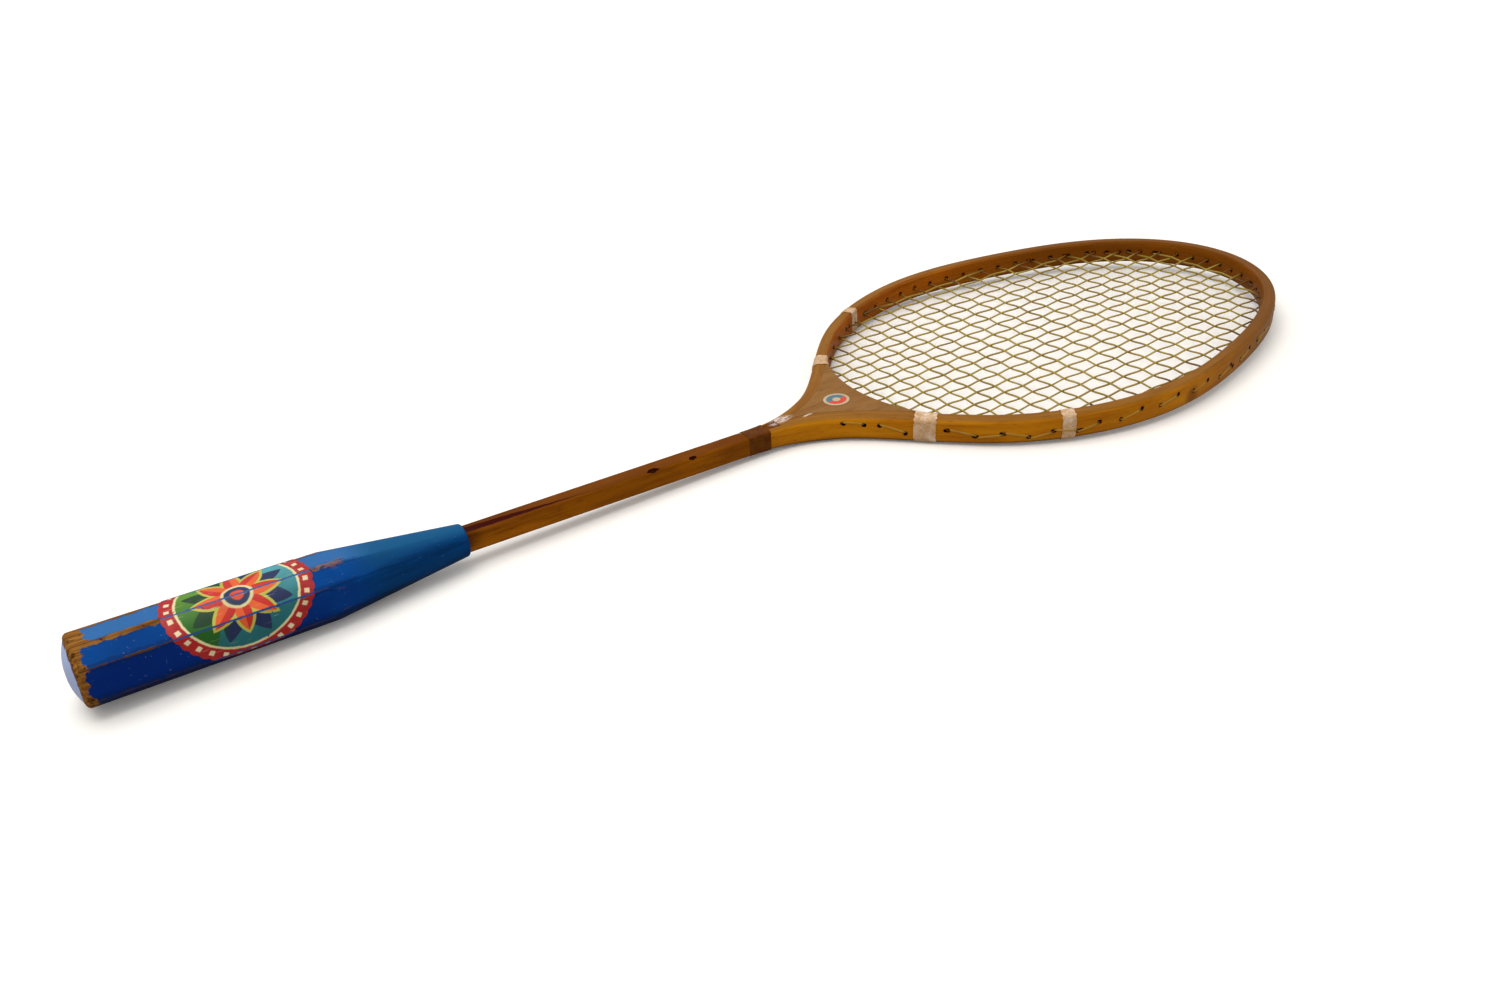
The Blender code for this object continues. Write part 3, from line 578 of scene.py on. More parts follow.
# The ground in two colours, and the star: its shadow, its gold rays and its red petals
tilt = value("ADD", scaled(spot[1], -0.35, spot[0]), scaled(ink_noise, 0.16, -0.03))
meadow = mixed(between(spot[1], -0.5, 0.6), (14, 92, 8), (92, 146, 22))
water = mixed(between(spot[1], -0.7, 0.7), (6, 104, 112), (78, 160, 170))
inks = mixed(between(tilt, -0.16, -0.12), meadow, water)
navy = mixed(between(tilt, -0.1, 0.0), (10, 58, 20), (12, 34, 82))
petals = mixed(between(across_ray(STAR_POINTS, 0.0), 0.49, 0.51), (198, 34, 18), (226, 92, 34))
for offset, fall, tip, ink in ((0.0, -0.34, 0.72, navy), (0.5, -0.26, 0.62, (186, 184, 70)),
                               (0.5, -0.30, 0.57, petals)):
    inks = mixed(inside(reach, scaled(off_ray(STAR_POINTS, offset), fall, tip)), inks, ink)
for limit, ink in ((0.21, (222, 212, 158)), (0.17, (14, 40, 84)), (0.09, (216, 70, 30))):
    inks = mixed(inside(reach, limit), inks, ink)

# The cream line, and the red border with its beads
inks = mixed(between(reach, 0.772, 0.79), inks, (226, 216, 164))
red = mixed(ink_noise, (190, 16, 10), (150, 6, 6))
inks = mixed(between(reach, 0.805, 0.822), inks, red)
beads = times(inside(off_ray(BEADS, 0.0), 0.36, 0.08),
              inside(value("ABSOLUTE", minus(reach, 0.895)), 0.034, 0.008))
inks = mixed(beads, inks, (232, 214, 176))

# Age: yellowing, scores, and paper lost along the creases and in chips
aged = mixed(between(cloud(surface, 70.0, 3.0), 0.35, 0.75), (255, 255, 255), (206, 190, 150))
inks = mixed(0.5, inks, aged, "MULTIPLY")
scores = between(cloud(surface, (90, 2200, 2200)), 0.69, 0.74)
inks = tinted(inks, scores, 0.4, (230, 222, 190))
crack_line = between(scaled(ink_noise, -0.0011, edges["Edge"]), 0.0, -0.00025)
lost = value("MAXIMUM", crack_line, between(cloud(surface, 330.0, 2.0, 0.7), 0.70, 0.73))
inks = mixed(lost, inks, (24, 66, 128))
feed_all(shader, Base_Color=inks, Roughness=scaled(ink_noise, 0.2, 0.3),
         Normal=bumps(scaled(lost, -1.0, times(ink_noise, 0.3)), 0.0001))
label.data.materials.append(label_print)
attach(label, "root")
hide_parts("handle_label")

# Shaft. The real one is a straight bar with eased edges, a round tenon glued into the grip and a
# flat tongue between the hoop's ends. Its brown varnish has a long split and two small nicks.
SHAFT_WIDTH = 0.0092
SHAFT_DEPTH = 0.0100
SHAFT_EASE = 0.0012
NECK_X = 0.3155
TONGUE_LENGTH = 0.014
TONGUE_WIDTH = 0.0044
TONGUE_DEPTH = 0.0096
JOINT = 0.00005
NICKS = ((0.2562, -0.0032, 0.0094), (0.2778, -0.0040, 0.0076))
shaft_start = GRIP_LENGTH + JOINT
shaft_end = NECK_X - JOINT
shaft = start_piece(
    "shaft_bar", bpy.ops.mesh.primitive_cube_add,
    size=1, location=(BUTT_X + (shaft_start + shaft_end) / 2, 0, AXIS_Z),
    scale=(shaft_end - shaft_start, SHAFT_WIDTH, SHAFT_DEPTH),
)
pick(shaft, "EDGE", lambda ends: abs(ends[0].x - ends[1].x) > SHAFT_WIDTH)
bpy.ops.mesh.bevel(offset=SHAFT_EASE, segments=4, affect="EDGES")
close_edit()
cut(shaft, round_tenon("tenon", TENON_RADIUS), "UNION")
tongue = start_piece(
    "tongue", bpy.ops.mesh.primitive_cube_add,
    size=1, location=(BUTT_X + NECK_X + (TONGUE_LENGTH - SPARE) / 2, 0, AXIS_Z),
    scale=(TONGUE_LENGTH + SPARE, TONGUE_WIDTH, TONGUE_DEPTH),
)
cut(shaft, tongue, "UNION")


def raw_wood(name, roughness, fineness, pale, dark):
    """Wood laid bare by a knock or a drill, and gone dark."""
    made, _, shader, surface = new_finish(name, Roughness=roughness, Specular_IOR_Level=0.05)
    feed_all(shader, Base_Color=mixed(cloud(surface, fineness), pale, dark))
    return made


# An empty slot for the varnish comes first, so that the cut faces keep the slot of what cut them.
shaft.data.materials.append(None)
nick_wood = raw_wood("dark_nick", 0.8, 700.0, (58, 14, 0), (34, 6, 0))
for nick_x, nick_y, nick_size in NICKS:
    nick = start_piece(
        "nick", bpy.ops.mesh.primitive_cone_add,
        vertices=5, radius1=nick_size / 2, radius2=nick_size / 5, depth=0.0024,
        location=(BUTT_X + nick_x, nick_y - 0.0003, AXIS_Z + SHAFT_DEPTH / 2 - 0.0001),
        rotation=(math.radians(-145), 0, 0), scale=(1, 0.55, 1),
    )
    nick.data.materials.append(nick_wood)
    cut(shaft, nick)
soften(shaft, 28)
apply_step(shaft, "WEIGHTED_NORMAL", keep_sharp=True)

# White marks where the varnish has broken up, on top of the neck and on the shaft's far edge. Each
# has a place, a length and a width.
BLOOM_MARKS = (
    (0.3325, 0.0018, 0.0085, 0.0042), (0.3135, 0.0036, 0.0060, 0.0016),
    (0.2930, 0.0040, 0.0075, 0.0011), (0.3450, -0.0040, 0.0040, 0.0010),
)
bloom, _, bloom_out = new_effect("varnish_bloom", ("Bloom",))
place = put("TexCoord", {}, bloom)["Object"]
marks = None
for mark_x, mark_y, mark_long, mark_wide in BLOOM_MARKS:
    centred = put("VectorMath", {0: place, 1: (-BUTT_X - mark_x, -mark_y, 0)}, operation="ADD")[0]
    shrunk = put("VectorMath", {0: centred, 1: (1 / mark_long, 1 / mark_wide, 0)},
                 operation="MULTIPLY")[0]
    mark = between(put("VectorMath", {0: shrunk}, operation="LENGTH")["Value"], 1.0, 0.35)
    marks = mark if marks is None else value("MAXIMUM", marks, mark)
top_side = between(parts(place)[2], AXIS_Z + 0.0036, AXIS_Z + 0.0046)
streaky = cloud(place, (260, 900, 500), 4.0, 0.7, 0.6)
feed_all(bloom_out, Bloom=times(times(marks, top_side), between(streaky, 0.39, 0.55)))


def grained(wood, grain, **layers):
    """Wood with streaks, fibres and pores laid over it, each with a strength and a tone."""
    for layer, (strength, tone) in layers.items():
        wood = tinted(wood, grain[layer], strength, tone)
    return wood


shaft_varnish, tree, shader, surface = new_finish(
    "brown_varnish", Coat_Roughness=0.3, Coat_IOR=1.4, Specular_IOR_Level=0.02
)
grain = put("Group", {"Vector": surface}, node_tree=wood_fibres)
spot = parts(surface)
from_butt = minus(spot[0], BUTT_X)
level = minus(spot[2], AXIS_Z)
girth = value("ADD", level, value("ADD", spot[1], SHAFT_WIDTH / 2))
blotch = cloud(surface, (26, 120, 120), 4.0, 0.6, 0.5)
wood = mixed(between(blotch, 0.3, 0.7), (160, 90, 2), (120, 62, 0))
wood = grained(wood, grain, Streaks=(0.4, (98, 44, 0)), Fibres=(0.35, (172, 104, 14)),
               Pores=(0.5, (62, 24, 2)))
wood = tinted(wood, between(girth, 0.0030, 0.0066), 0.72, (92, 44, 0))

# The split runs down across the near side, widest and most stained at the grip.
split_level = scaled(from_butt, -0.045, 0.0153)
split_level = scaled(cloud(surface, (160, 0, 0), 3.0), 0.0016, split_level)
off_split = value("ABSOLUTE", minus(girth, split_level))
split_width = scaled(between(from_butt, 0.222, 0.164), 0.0020, 0.0003)
split = between(minus(off_split, split_width), 0.0003, -0.0004)
split = times(split, between(from_butt, 0.240, 0.205))
split = times(split, between(cloud(surface, (110, 700, 700), 4.0, 0.7), 0.28, 0.42))
stained = times(between(girth, 0.0056, 0.0074),
                between(scaled(blotch, 0.03, from_butt), 0.226, 0.190))
wood = tinted(wood, stained, 0.35, (66, 18, 0))
wood = mixed(split, wood, (56, 4, 0))

# Dirt at the collar, a darker end at the neck, the far edge both rubbed pale and given a painted
# highlight, and the white marks
collar_dirt = times(between(from_butt, 0.172, 0.161), grain["Streaks"])
wood = tinted(wood, collar_dirt, 0.7, (52, 20, 4))
wood = tinted(wood, between(from_butt, 0.285, 0.300), 0.45, (104, 52, 4))
# The far top edge is tinted pale: partly rubbed wear, partly a painted highlight.
rub_and_highlight = times(between(spot[1], 0.0034, 0.0041), between(level, 0.0034, 0.0043))
wood = tinted(wood, times(rub_and_highlight, between(blotch, 0.35, 0.6)), 0.6, (178, 128, 74))
white_marks = put("Group", {}, tree, node_tree=bloom)["Bloom"]
wood = tinted(wood, white_marks, 0.8, (214, 202, 194))
fibre_relief = scaled(grain["Fibres"], 0.5, grain["Pores"])
feed_all(shader, Base_Color=wood, Roughness=scaled(blotch, 0.25, 0.3),
         Coat_Weight=scaled(split, -0.03, 0.03),
         Normal=bumps(scaled(split, -2.0, fibre_relief), 0.00008))
shaft.data.materials[0] = shaft_varnish
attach(shaft, "root")
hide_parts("shaft")

# Hoop. The real one is three ash strips steamed, bent round a form one inside the other and glued.
# The outer strip runs down both sides of the neck, and the other two close behind the wedge. The
# whole is rounded over, drilled for the strings and varnished amber.
HEAD_CENTRE = 0.5106
HEAD_WIDTH = 0.2106
TIP_REACH = 0.1444
OUTLINE_SHIFT = 0.0010
OUTLINE_EGG = 0.0033
OUTLINE_CORNER = 0.0024
SHOULDER_ANGLE = math.radians(147)
SHOULDER_PULL = 0.047
NECK_PULL = 0.0425
NECK_WIDTH = 0.0094
NECK_DEPTH = 0.0100
NECK_BLEND = 0.036
BEND_LENGTH = 0.063
HEAD_SET = math.radians(2.8)
WALL = 0.0071
DEPTH = 0.0132
GLUE_LINE = 0.00004
BRIDGE = 0.004
OFF_AXIS = 0.0006
PLY_PITCH = (WALL + GLUE_LINE) / 3
WEDGE_X = 0.3804
WEDGE_HOLLOW = 0.0088
WEDGE_TIP = 0.0014


def hoop_point(angle):
    half_width = HEAD_WIDTH / 2
    odd_waves = OUTLINE_SHIFT + OUTLINE_EGG
    reach = (TIP_REACH + half_width - odd_waves) / 2 - OUTLINE_CORNER
    reach += OUTLINE_SHIFT * math.cos(angle)
    reach += (TIP_REACH - half_width - odd_waves) / 2 * math.cos(2 * angle)
    reach += OUTLINE_EGG * math.cos(3 * angle) + OUTLINE_CORNER * math.cos(4 * angle)
    return np.array([HEAD_CENTRE + reach * math.cos(angle), reach * math.sin(angle)])


shoulder = hoop_point(SHOULDER_ANGLE)
heading = hoop_point(SHOULDER_ANGLE + 0.001) - shoulder
heading /= np.linalg.norm(heading)
neck = np.array([NECK_X, NECK_WIDTH / 2])
outline = []
for t in np.linspace(0, 1, 240, endpoint=False):
    outline.append((1 - t) ** 3 * neck + 3 * (1 - t) ** 2 * t * (neck + [NECK_PULL, 0])
                   + 3 * (1 - t) * t * t * (shoulder + SHOULDER_PULL * heading) + t**3 * shoulder)
outline += [hoop_point(angle) for angle in np.linspace(SHOULDER_ANGLE, 0, 600)]
outline = np.array(outline)
tangent = np.gradient(outline, axis=0)
tangent[-1] = (0, -1)
outward = np.column_stack([-tangent[:, 1], tangent[:, 0]])
outward /= np.linalg.norm(outward, axis=1)[:, None]
run = np.concatenate([[0], np.cumsum(np.linalg.norm(np.diff(outline, axis=0), axis=1))])
tip_run = run[-1]
widest = int(np.argmax(outline[:, 1]))


def inset_outline(inset):
    """The outline of half the hoop in plan, from neck to tip, moved into the wood."""
    return outline - outward * inset


def on_outline(at_run, inset):
    """A point in plan at a distance from the neck round the hoop, moved into the wood."""
    curve = inset_outline(inset)
    return np.array([np.interp(at_run, run, curve[:, 0]), np.interp(at_run, run, curve[:, 1])])


def outward_at(at_run):
    """The way straight out of the wood at a distance from the neck round the hoop."""
    return np.array([np.interp(at_run, run, outward[:, 0]), np.interp(at_run, run, outward[:, 1])])


def neck_depth(x):
    """How deep the wood is at a distance from the butt, growing from the neck to the hoop."""
    part = np.clip((x - NECK_X) / NECK_BLEND, 0, 1)
    return NECK_DEPTH + (DEPTH - NECK_DEPTH) * part * part * (3 - 2 * part)


def set_up(points):
    """Points of the flat head, x from the butt, moved to their places in the set-up racket."""
    points = np.array(points, dtype=float)
    x = points[:, 0]
    bend = np.clip(x - NECK_X, 0, BEND_LENGTH)
    beyond = np.clip(x - NECK_X - BEND_LENGTH, 0, None)
    lift = math.tan(HEAD_SET) * (bend * bend / (2 * BEND_LENGTH) + beyond)
    share = neck_depth(x) / DEPTH
    return np.column_stack([BUTT_X + x, points[:, 1], AXIS_Z + lift + points[:, 2] * share])


def lay(piece, points):
    """Give the piece's points their places."""
    piece.data.vertices.foreach_set("co", np.asarray(points, dtype=float).ravel())
    piece.data.update()


def lay_set_up(piece):
    lay(piece, set_up([vertex.co for vertex in piece.data.vertices]))


def face_outwards(piece, weld=0):
    """Merge the piece's doubles where a weld is given, and turn its faces outwards."""
    pick(piece, "FACE", lambda ends: True)
    if weld:
        bpy.ops.mesh.remove_doubles(threshold=weld)
    bpy.ops.mesh.normals_make_consistent(inside=False)
    close_edit()


def outer_round(at_run):
    return np.interp(at_run, (0, 0.012, 0.045, 0.09, 0.2), (0.0012, 0.0022, 0.0037, 0.0026, 0.0023))


def inner_round(at_run):
    return np.interp(at_run, (0, 0.074, 0.09), (0.0001, 0.0001, 0.0013))


def top_height(depth_in, at_run):
    """The height of the rounded wood over its middle, at a depth in from the outer face."""
    result = DEPTH / 2
    for from_face, radius in ((depth_in, outer_round(at_run)),
                              (WALL - depth_in, inner_round(at_run))):
        if from_face < radius:
            drop = radius - math.sqrt(max(radius**2 - (radius - max(from_face, 0)) ** 2, 0))
            result = min(result, DEPTH / 2 - drop)
    return result


PLY_TOP = (0, 0.07, 0.22, 0.42, 0.68, 1)
PLY_SIDE = (-0.33, 0.33)
SECTION = len(PLY_TOP) * 2 + len(PLY_SIDE) * 2
half_stations = np.linspace(0, len(outline) - 1, 128).round().astype(int)
stations = [(-1, i) for i in half_stations] + [(1, i) for i in half_stations[-2::-1]]


def first_clear(inset, start_x):
    """Where an inner outline starts: past start_x and clear of the axis."""
    curve = inset_outline(inset)
    return int(np.argmax((curve[:, 0] >= start_x) & (curve[:, 1] >= OFF_AXIS)))


def open_neck(ply):
    """Open the outer strip's loop at the neck, and close its two ends with a face each."""
    at_neck = NECK_X + 0.0001
    pick(ply, "FACE", lambda ends: max(e.x for e in ends) < at_neck
         and min(e.y for e in ends) < 0 < max(e.y for e in ends))
    bpy.ops.mesh.delete(type="ONLY_FACE")
    close_edit()
    pick(ply, "EDGE", lambda ends: ends[0].y * ends[1].y < 0 and max(e.x for e in ends) < at_neck)
    bpy.ops.mesh.delete(type="EDGE")
    close_edit()
    for side in (-1, 1):
        pick(ply, "EDGE", lambda ends: max(e.x for e in ends) < at_neck
             and min(side * e.y for e in ends) > 0)
        bpy.ops.mesh.edge_face_add()
        close_edit()


def bent_ply(name, order):
    """A strip of the hoop: a torus laid on the stations, with the strip's own section."""
    low = order * PLY_PITCH
    high = low + PLY_PITCH - GLUE_LINE
    start_x = NECK_X + TONGUE_LENGTH + JOINT + (order - 1) * (BRIDGE + GLUE_LINE)
    low_first = first_clear(low, start_x) if order else 0
    high_first = first_clear(high, start_x + BRIDGE) if order else 0
    ply = start_piece(
        name, bpy.ops.mesh.primitive_torus_add,
        major_segments=len(stations), minor_segments=SECTION, major_radius=0.1, minor_radius=0.01,
    )
    points = []
    runs = []
    for side, i in stations:
        outer = inset_outline(low)[max(i, low_first)]
        inner = inset_outline(high)[max(i, high_first)]
        tops = [top_height(low + (high - low) * t, run[i]) for t in PLY_TOP]
        section = list(zip(PLY_TOP, tops)) + [(1, s * tops[-1]) for s in PLY_SIDE[::-1]]
        section += [(t, -z) for t, z in zip(PLY_TOP[::-1], tops[::-1])]
        section += [(0, s * tops[0]) for s in PLY_SIDE]
        for t, z in section:
            x, y = outer + (inner - outer) * t
            points.append((x, side * y, z))
        runs.append(tip_run + side * (tip_run - run[i]))
    lay(ply, points)
    girth = [0.0]
    middle = len(stations) // 4 * SECTION
    for j in range(SECTION):
        gap = np.subtract(points[middle + (j + 1) % SECTION], points[middle + j])
        girth.append(girth[-1] + float(np.linalg.norm(gap)))
    layer = ply.data.uv_layers[0]
    layer.name = "grain"
    for polygon in ply.data.polygons:
        corners = [ply.data.loops[i].vertex_index for i in polygon.loop_indices]
        columns = [corner % SECTION for corner in corners]
        wraps = max(columns) - min(columns) > 1
        for i, corner, column in zip(polygon.loop_indices, corners, columns):
            v = girth[SECTION] if wraps and column == 0 else girth[column]
            layer.data[i].uv = (runs[corner // SECTION] * 10, v * 10 + order)
    if order == 0:
        open_neck(ply)
    face_outwards(ply, weld=1e-6)
    return ply


# String holes. Each hole takes one bend of the strings, and along the sides a main and a cross
# share one. They are staggered a little up and down so that the wood doesn't split.
MAIN_COUNT = 20
CROSS_COUNT = 24
MAIN_PITCH = (HEAD_WIDTH / 2 - WALL) / (MAIN_COUNT / 2 + 0.36)
FIRST_CROSS = WEDGE_X + 0.0126
LAST_CROSS = HEAD_CENTRE + TIP_REACH - WALL - 0.0104
CROWDING = 0.103
STRING_RADIUS = 0.0005
HOLE_RADIUS = 0.00105
HOLE_OVERRUN = 0.0012
BEND_ROOM = 0.0016
STAGGER = 0.0011
THROAT_HOLES = ((0.0240, 0.0032), (0.0160, 0.0023), (0.0106, 0.0021), (0.0016, -0.0018))
wedge_side = inset_outline(WALL + GLUE_LINE)
wedge_end = int(np.argmax(wedge_side[:, 0] >= WEDGE_X + WEDGE_HOLLOW - WEDGE_TIP))
wedge_reach = float(wedge_side[wedge_end, 1])


def wedge_edge(y):
    return WEDGE_X + WEDGE_HOLLOW * (y / wedge_reach) ** 2


def cross_x(i):
    u = i / (CROSS_COUNT - 1)
    return FIRST_CROSS + (LAST_CROSS - FIRST_CROSS) * (
        u - CROWDING * math.sin(2 * math.pi * u) / (2 * math.pi))


def cross_hole(i):
    """The run and the height of the hole at the end of a cross."""
    at_run = float(np.interp(cross_x(i), outline[:, 0], run))
    drift = -0.0003 - 0.0019 * math.sin(math.pi * min(i, 13) / 6.5)
    return at_run, drift + STAGGER * (-1) ** i


def cross_end(i):
    """The hole at the end of a cross, and where in plan the cross turns into the wood."""
    at_run, height = cross_hole(i)
    x, y = on_outline(at_run, 0)
    return at_run, height, x, y - (WALL + BEND_ROOM) / outward_at(at_run)[1]


def main_hole(k):
    """The run and the height of the throat hole of the k-th main from the axis."""
    if k < len(THROAT_HOLES):
        back, height = THROAT_HOLES[k]
        return float(np.interp(WEDGE_X - back, outline[:, 0], run)), height
    return cross_hole(k - len(THROAT_HOLES))


def main_bends(k):
    """The k-th main's distance from the axis, its throat and tip bends, and its tip hole."""
    y = (k + 0.5) * MAIN_PITCH
    curve = inset_outline(WALL + BEND_ROOM)
    throat = float(np.interp(y, curve[:widest, 1], curve[:widest, 0]))
    if y < wedge_reach:
        throat = max(throat, wedge_edge(y) + BEND_ROOM)
    tip = widest + int(np.argmax(curve[widest:, 1] <= y))
    return y, throat, float(curve[tip, 0]), float(run[tip]), STAGGER * (-1) ** k


def hole_mouth(side, at_run, clearance, height):
    x, y = on_outline(at_run, -clearance)
    return np.array([x, side * y, height])


main_bores = []
cross_bores = []
for side in (-1, 1):
    for k in range(MAIN_COUNT // 2):
        y, throat, tip, last_run, tip_height = main_bends(k)
        main_bores.append((side, *main_hole(k), np.array([throat, side * y, 0])))
        main_bores.append((side, last_run, tip_height, np.array([tip, side * y, 0])))
    for i in range(CROSS_COUNT):
        at_run, height, x, inner = cross_end(i)
        cross_bores.append((side, at_run, height, np.array([x, side * inner, 0])))
hole_wood = raw_wood("bare_hole", 0.9, 900.0, (66, 20, 6), (30, 8, 3))


def hole_cutter(name, bores):
    """One mesh of many drill shapes, each from the outer face to its bend inside the bed."""
    for n, (side, at_run, height, bend) in enumerate(bores):
        mouth = hole_mouth(side, at_run, HOLE_OVERRUN, height)
        way = Vector(bend - mouth)
        drill = dict(
            vertices=12, radius=HOLE_RADIUS, depth=way.length + HOLE_OVERRUN / 2,
            location=Vector(bend + mouth) / 2, rotation=way.to_track_quat("Z", "Y").to_euler(),
        )
        if n == 0:
            cutter = start_piece(name, bpy.ops.mesh.primitive_cylinder_add, **drill)
            bpy.ops.object.mode_set(mode="EDIT")
        else:
            bpy.ops.mesh.primitive_cylinder_add(**drill)
    close_edit()
    cutter.data.materials.append(hole_wood)
    return cutter


main_drill = hole_cutter("main_drill", main_bores)
cross_drill = hole_cutter("cross_drill", cross_bores)
mouths = np.array([hole_mouth(side, at_run, 0, height)
                   for side, at_run, height, _ in main_bores + cross_bores])
bends = np.array([bend for _, _, _, bend in main_bores + cross_bores])


def drilled(piece):
    """Drill the piece, note how near its points are to a hole, and bend it up with the head."""
    if not piece.data.materials:
        piece.data.materials.append(None)
    cut(piece, main_drill, keep_tool=True)
    cut(piece, cross_drill, keep_tool=True)
    points = np.empty(len(piece.data.vertices) * 3)
    piece.data.vertices.foreach_get("co", points)
    points = points.reshape(-1, 3)
    ways = bends - mouths
    nearest = np.full(len(points), 1.0)
    for mouth, way, span in zip(mouths, ways, (ways**2).sum(axis=1)):
        t = np.clip((points - mouth) @ way / span, 0, 1)
        gaps = np.linalg.norm(points - mouth - t[:, None] * way, axis=1)
        nearest = np.minimum(nearest, gaps)
    noted = piece.data.attributes.new("from_hole", "FLOAT", "POINT")
    noted.data.foreach_set("value", nearest)
    lay(piece, set_up(points))


def near_holes(tree, surface, roughness=0.5):
    """How far the surface is from the nearest hole, with a ragged edge."""
    from_hole = put("Attribute", {}, tree, attribute_name="from_hole")["Fac"]
    return scaled(cloud(surface, 500.0, 3.0, roughness), 0.0016, from_hole)


# Each ply has its own two tones and takes its own share of the stain round the holes. Each also has
# a painted sheen on its upward faces and painted shade on its downward faces. A dark smudge sits on
# the outer face at the widest point of the near side.
PLIES = (
    ("outer", (202, 128, 2), (166, 94, 0), 0.3),
    ("middle", (190, 116, 8), (156, 88, 4), 0.3),
    ("inner", (176, 86, 0), (130, 54, 0), 0.6),
)
SMUDGE = (0.1822, -0.1054, 0.0205)


def ply_varnish(order, name, pale, dark, hole_stain):
    made, tree, shader, surface = new_finish(name, Coat_Roughness=0.26, Coat_IOR=1.4,
                                             Specular_IOR_Level=0.04)
    rolled = stretched(put("UVMap", {}, tree, uv_map="grain")[0], (0.1, 0.1, 0.1))
    grain = put("Group", {"Vector": rolled}, node_tree=wood_fibres)
    blotch = cloud(rolled, (22, 70, 70), 4.0, 0.6, 0.4, (order, 0, 0))
    blotches = between(blotch, 0.3, 0.72)
    facing = facing_up(tree)
    wood = grained(mixed(blotches, pale, dark), grain, Streaks=(0.4, (128, 62, 0)),
                   Fibres=(0.3, (206, 136, 24)))
    # Painted sheen: the upward faces take a greyed tan that stands for reflected light.
    painted_top_sheen = grained(mixed(blotches, (136, 90, 28), (120, 74, 16)), grain,
                         Fibres=(0.3, (152, 106, 44)))
    wood = tinted(wood, between(facing, 0.3, 0.9), 0.88, painted_top_sheen)
    wood = tinted(wood, between(parts(surface)[0], 0.17, 0.27), 0.7, (104, 58, 4))
    # Painted shade: the downward-facing faces along the hoop's lower edge are darkened.
    wood = tinted(wood, between(facing, -0.2, -0.8), 0.6, (78, 30, 0))
    wood = grained(wood, grain, Pores=(0.45, (80, 34, 2)))
    ragged = near_holes(tree, surface, 0.7)
    wood = tinted(wood, between(ragged, 0.0032, 0.0014), hole_stain, (88, 26, 0))
    wood = tinted(wood, between(ragged, 0.0022, 0.0017), 0.9, (40, 12, 2))
    from_smudge = put("VectorMath", {0: surface, 1: SMUDGE}, operation="DISTANCE")["Value"]
    smudged = between(scaled(blotch, 0.006, from_smudge), 0.0095, 0.0045)
    wood = tinted(wood, smudged, 0.55, (72, 26, 2))
    white_marks = put("Group", {}, tree, node_tree=bloom)["Bloom"]
    wood = tinted(wood, white_marks, 0.85, (222, 206, 196))
    feed_all(shader, Base_Color=wood, Roughness=scaled(blotch, 0.22, 0.28),
             Coat_Weight=scaled(white_marks, -0.06, 0.07),
             Normal=bumps(scaled(grain["Fibres"], 0.5, grain["Pores"]), 0.00006))
    return made


for order, (layer, pale, dark, hole_stain) in enumerate(PLIES):
    ply = bent_ply(f"ply_{layer}", order)
    drilled(ply)
    soften(ply, 32)
    ply.data.materials[0] = ply_varnish(order, f"{layer}_ply_varnish", pale, dark, hole_stain)
    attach(ply, "root")
    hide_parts(f"hoop_ply_{layer}")

# Wedge. The real one is a paler block glued into the throat, its edge toward the strings hollowed
# and eased, and the throat strings pass right through it.
WEDGE_EASE = 0.0007
WEDGE_SLICE = 0.0048
start_x = NECK_X + TONGUE_LENGTH + 3 * (BRIDGE + GLUE_LINE) - BRIDGE
wedge_first = first_clear(WALL + GLUE_LINE, start_x)
flank = wedge_side[np.linspace(wedge_first, wedge_end, 40).round().astype(int)]
hollow = [(wedge_edge(y), y) for y in np.linspace(wedge_reach, 0, 24)]
half_plan = [(x, -y) for x, y in flank] + [(x, -y) for x, y in hollow]
plan = half_plan + [(x, -y) for x, y in half_plan[-2::-1]]
wedge = start_piece("wedge", bpy.ops.mesh.primitive_circle_add,
                    vertices=len(plan), radius=0.05, fill_type="NGON")
lay(wedge, [(x, y, DEPTH / 2) for x, y in plan])
pick(wedge, "FACE", lambda ends: True)
bpy.ops.mesh.extrude_region_move(TRANSFORM_OT_translate={"value": (0, 0, -DEPTH)})
bpy.ops.mesh.select_all(action="SELECT")
bpy.ops.mesh.normals_make_consistent(inside=False)
close_edit()
pick(wedge, "EDGE", lambda ends: abs(ends[0].z - ends[1].z) < 1e-6 and all(
    abs(e.x - wedge_edge(e.y)) < 2e-5 for e in ends))
bpy.ops.mesh.bevel(offset=WEDGE_EASE, segments=3, affect="EDGES")
close_edit()
wedge.data.materials.append(None)
cut(wedge, main_drill, keep_tool=True)
for step in range(1, 11):
    slice_at(wedge, (start_x + step * WEDGE_SLICE, 0, 0), (1, 0, 0))
drilled(wedge)
soften(wedge, 32)
wedge_varnish, tree, shader, surface = new_finish(
    "wedge_varnish", Coat_Roughness=0.26, Coat_IOR=1.4, Specular_IOR_Level=0.04
)
grain = put("Group", {"Vector": surface}, node_tree=wood_fibres)
blotch = cloud(surface, (40, 130, 130), 4.0, 0.6, 0.4)
wood = mixed(between(blotch, 0.3, 0.72), (142, 98, 46), (124, 80, 30))
wood = grained(wood, grain, Streaks=(0.3, (106, 62, 18)), Fibres=(0.35, (158, 116, 64)),
               Pores=(0.45, (84, 42, 10)))
stain = between(near_holes(tree, surface), 0.0032, 0.0014)
wood = tinted(wood, stain, 0.6, (96, 32, 6))
white_marks = put("Group", {}, tree, node_tree=bloom)["Bloom"]
wood = tinted(wood, white_marks, 0.85, (222, 206, 196))
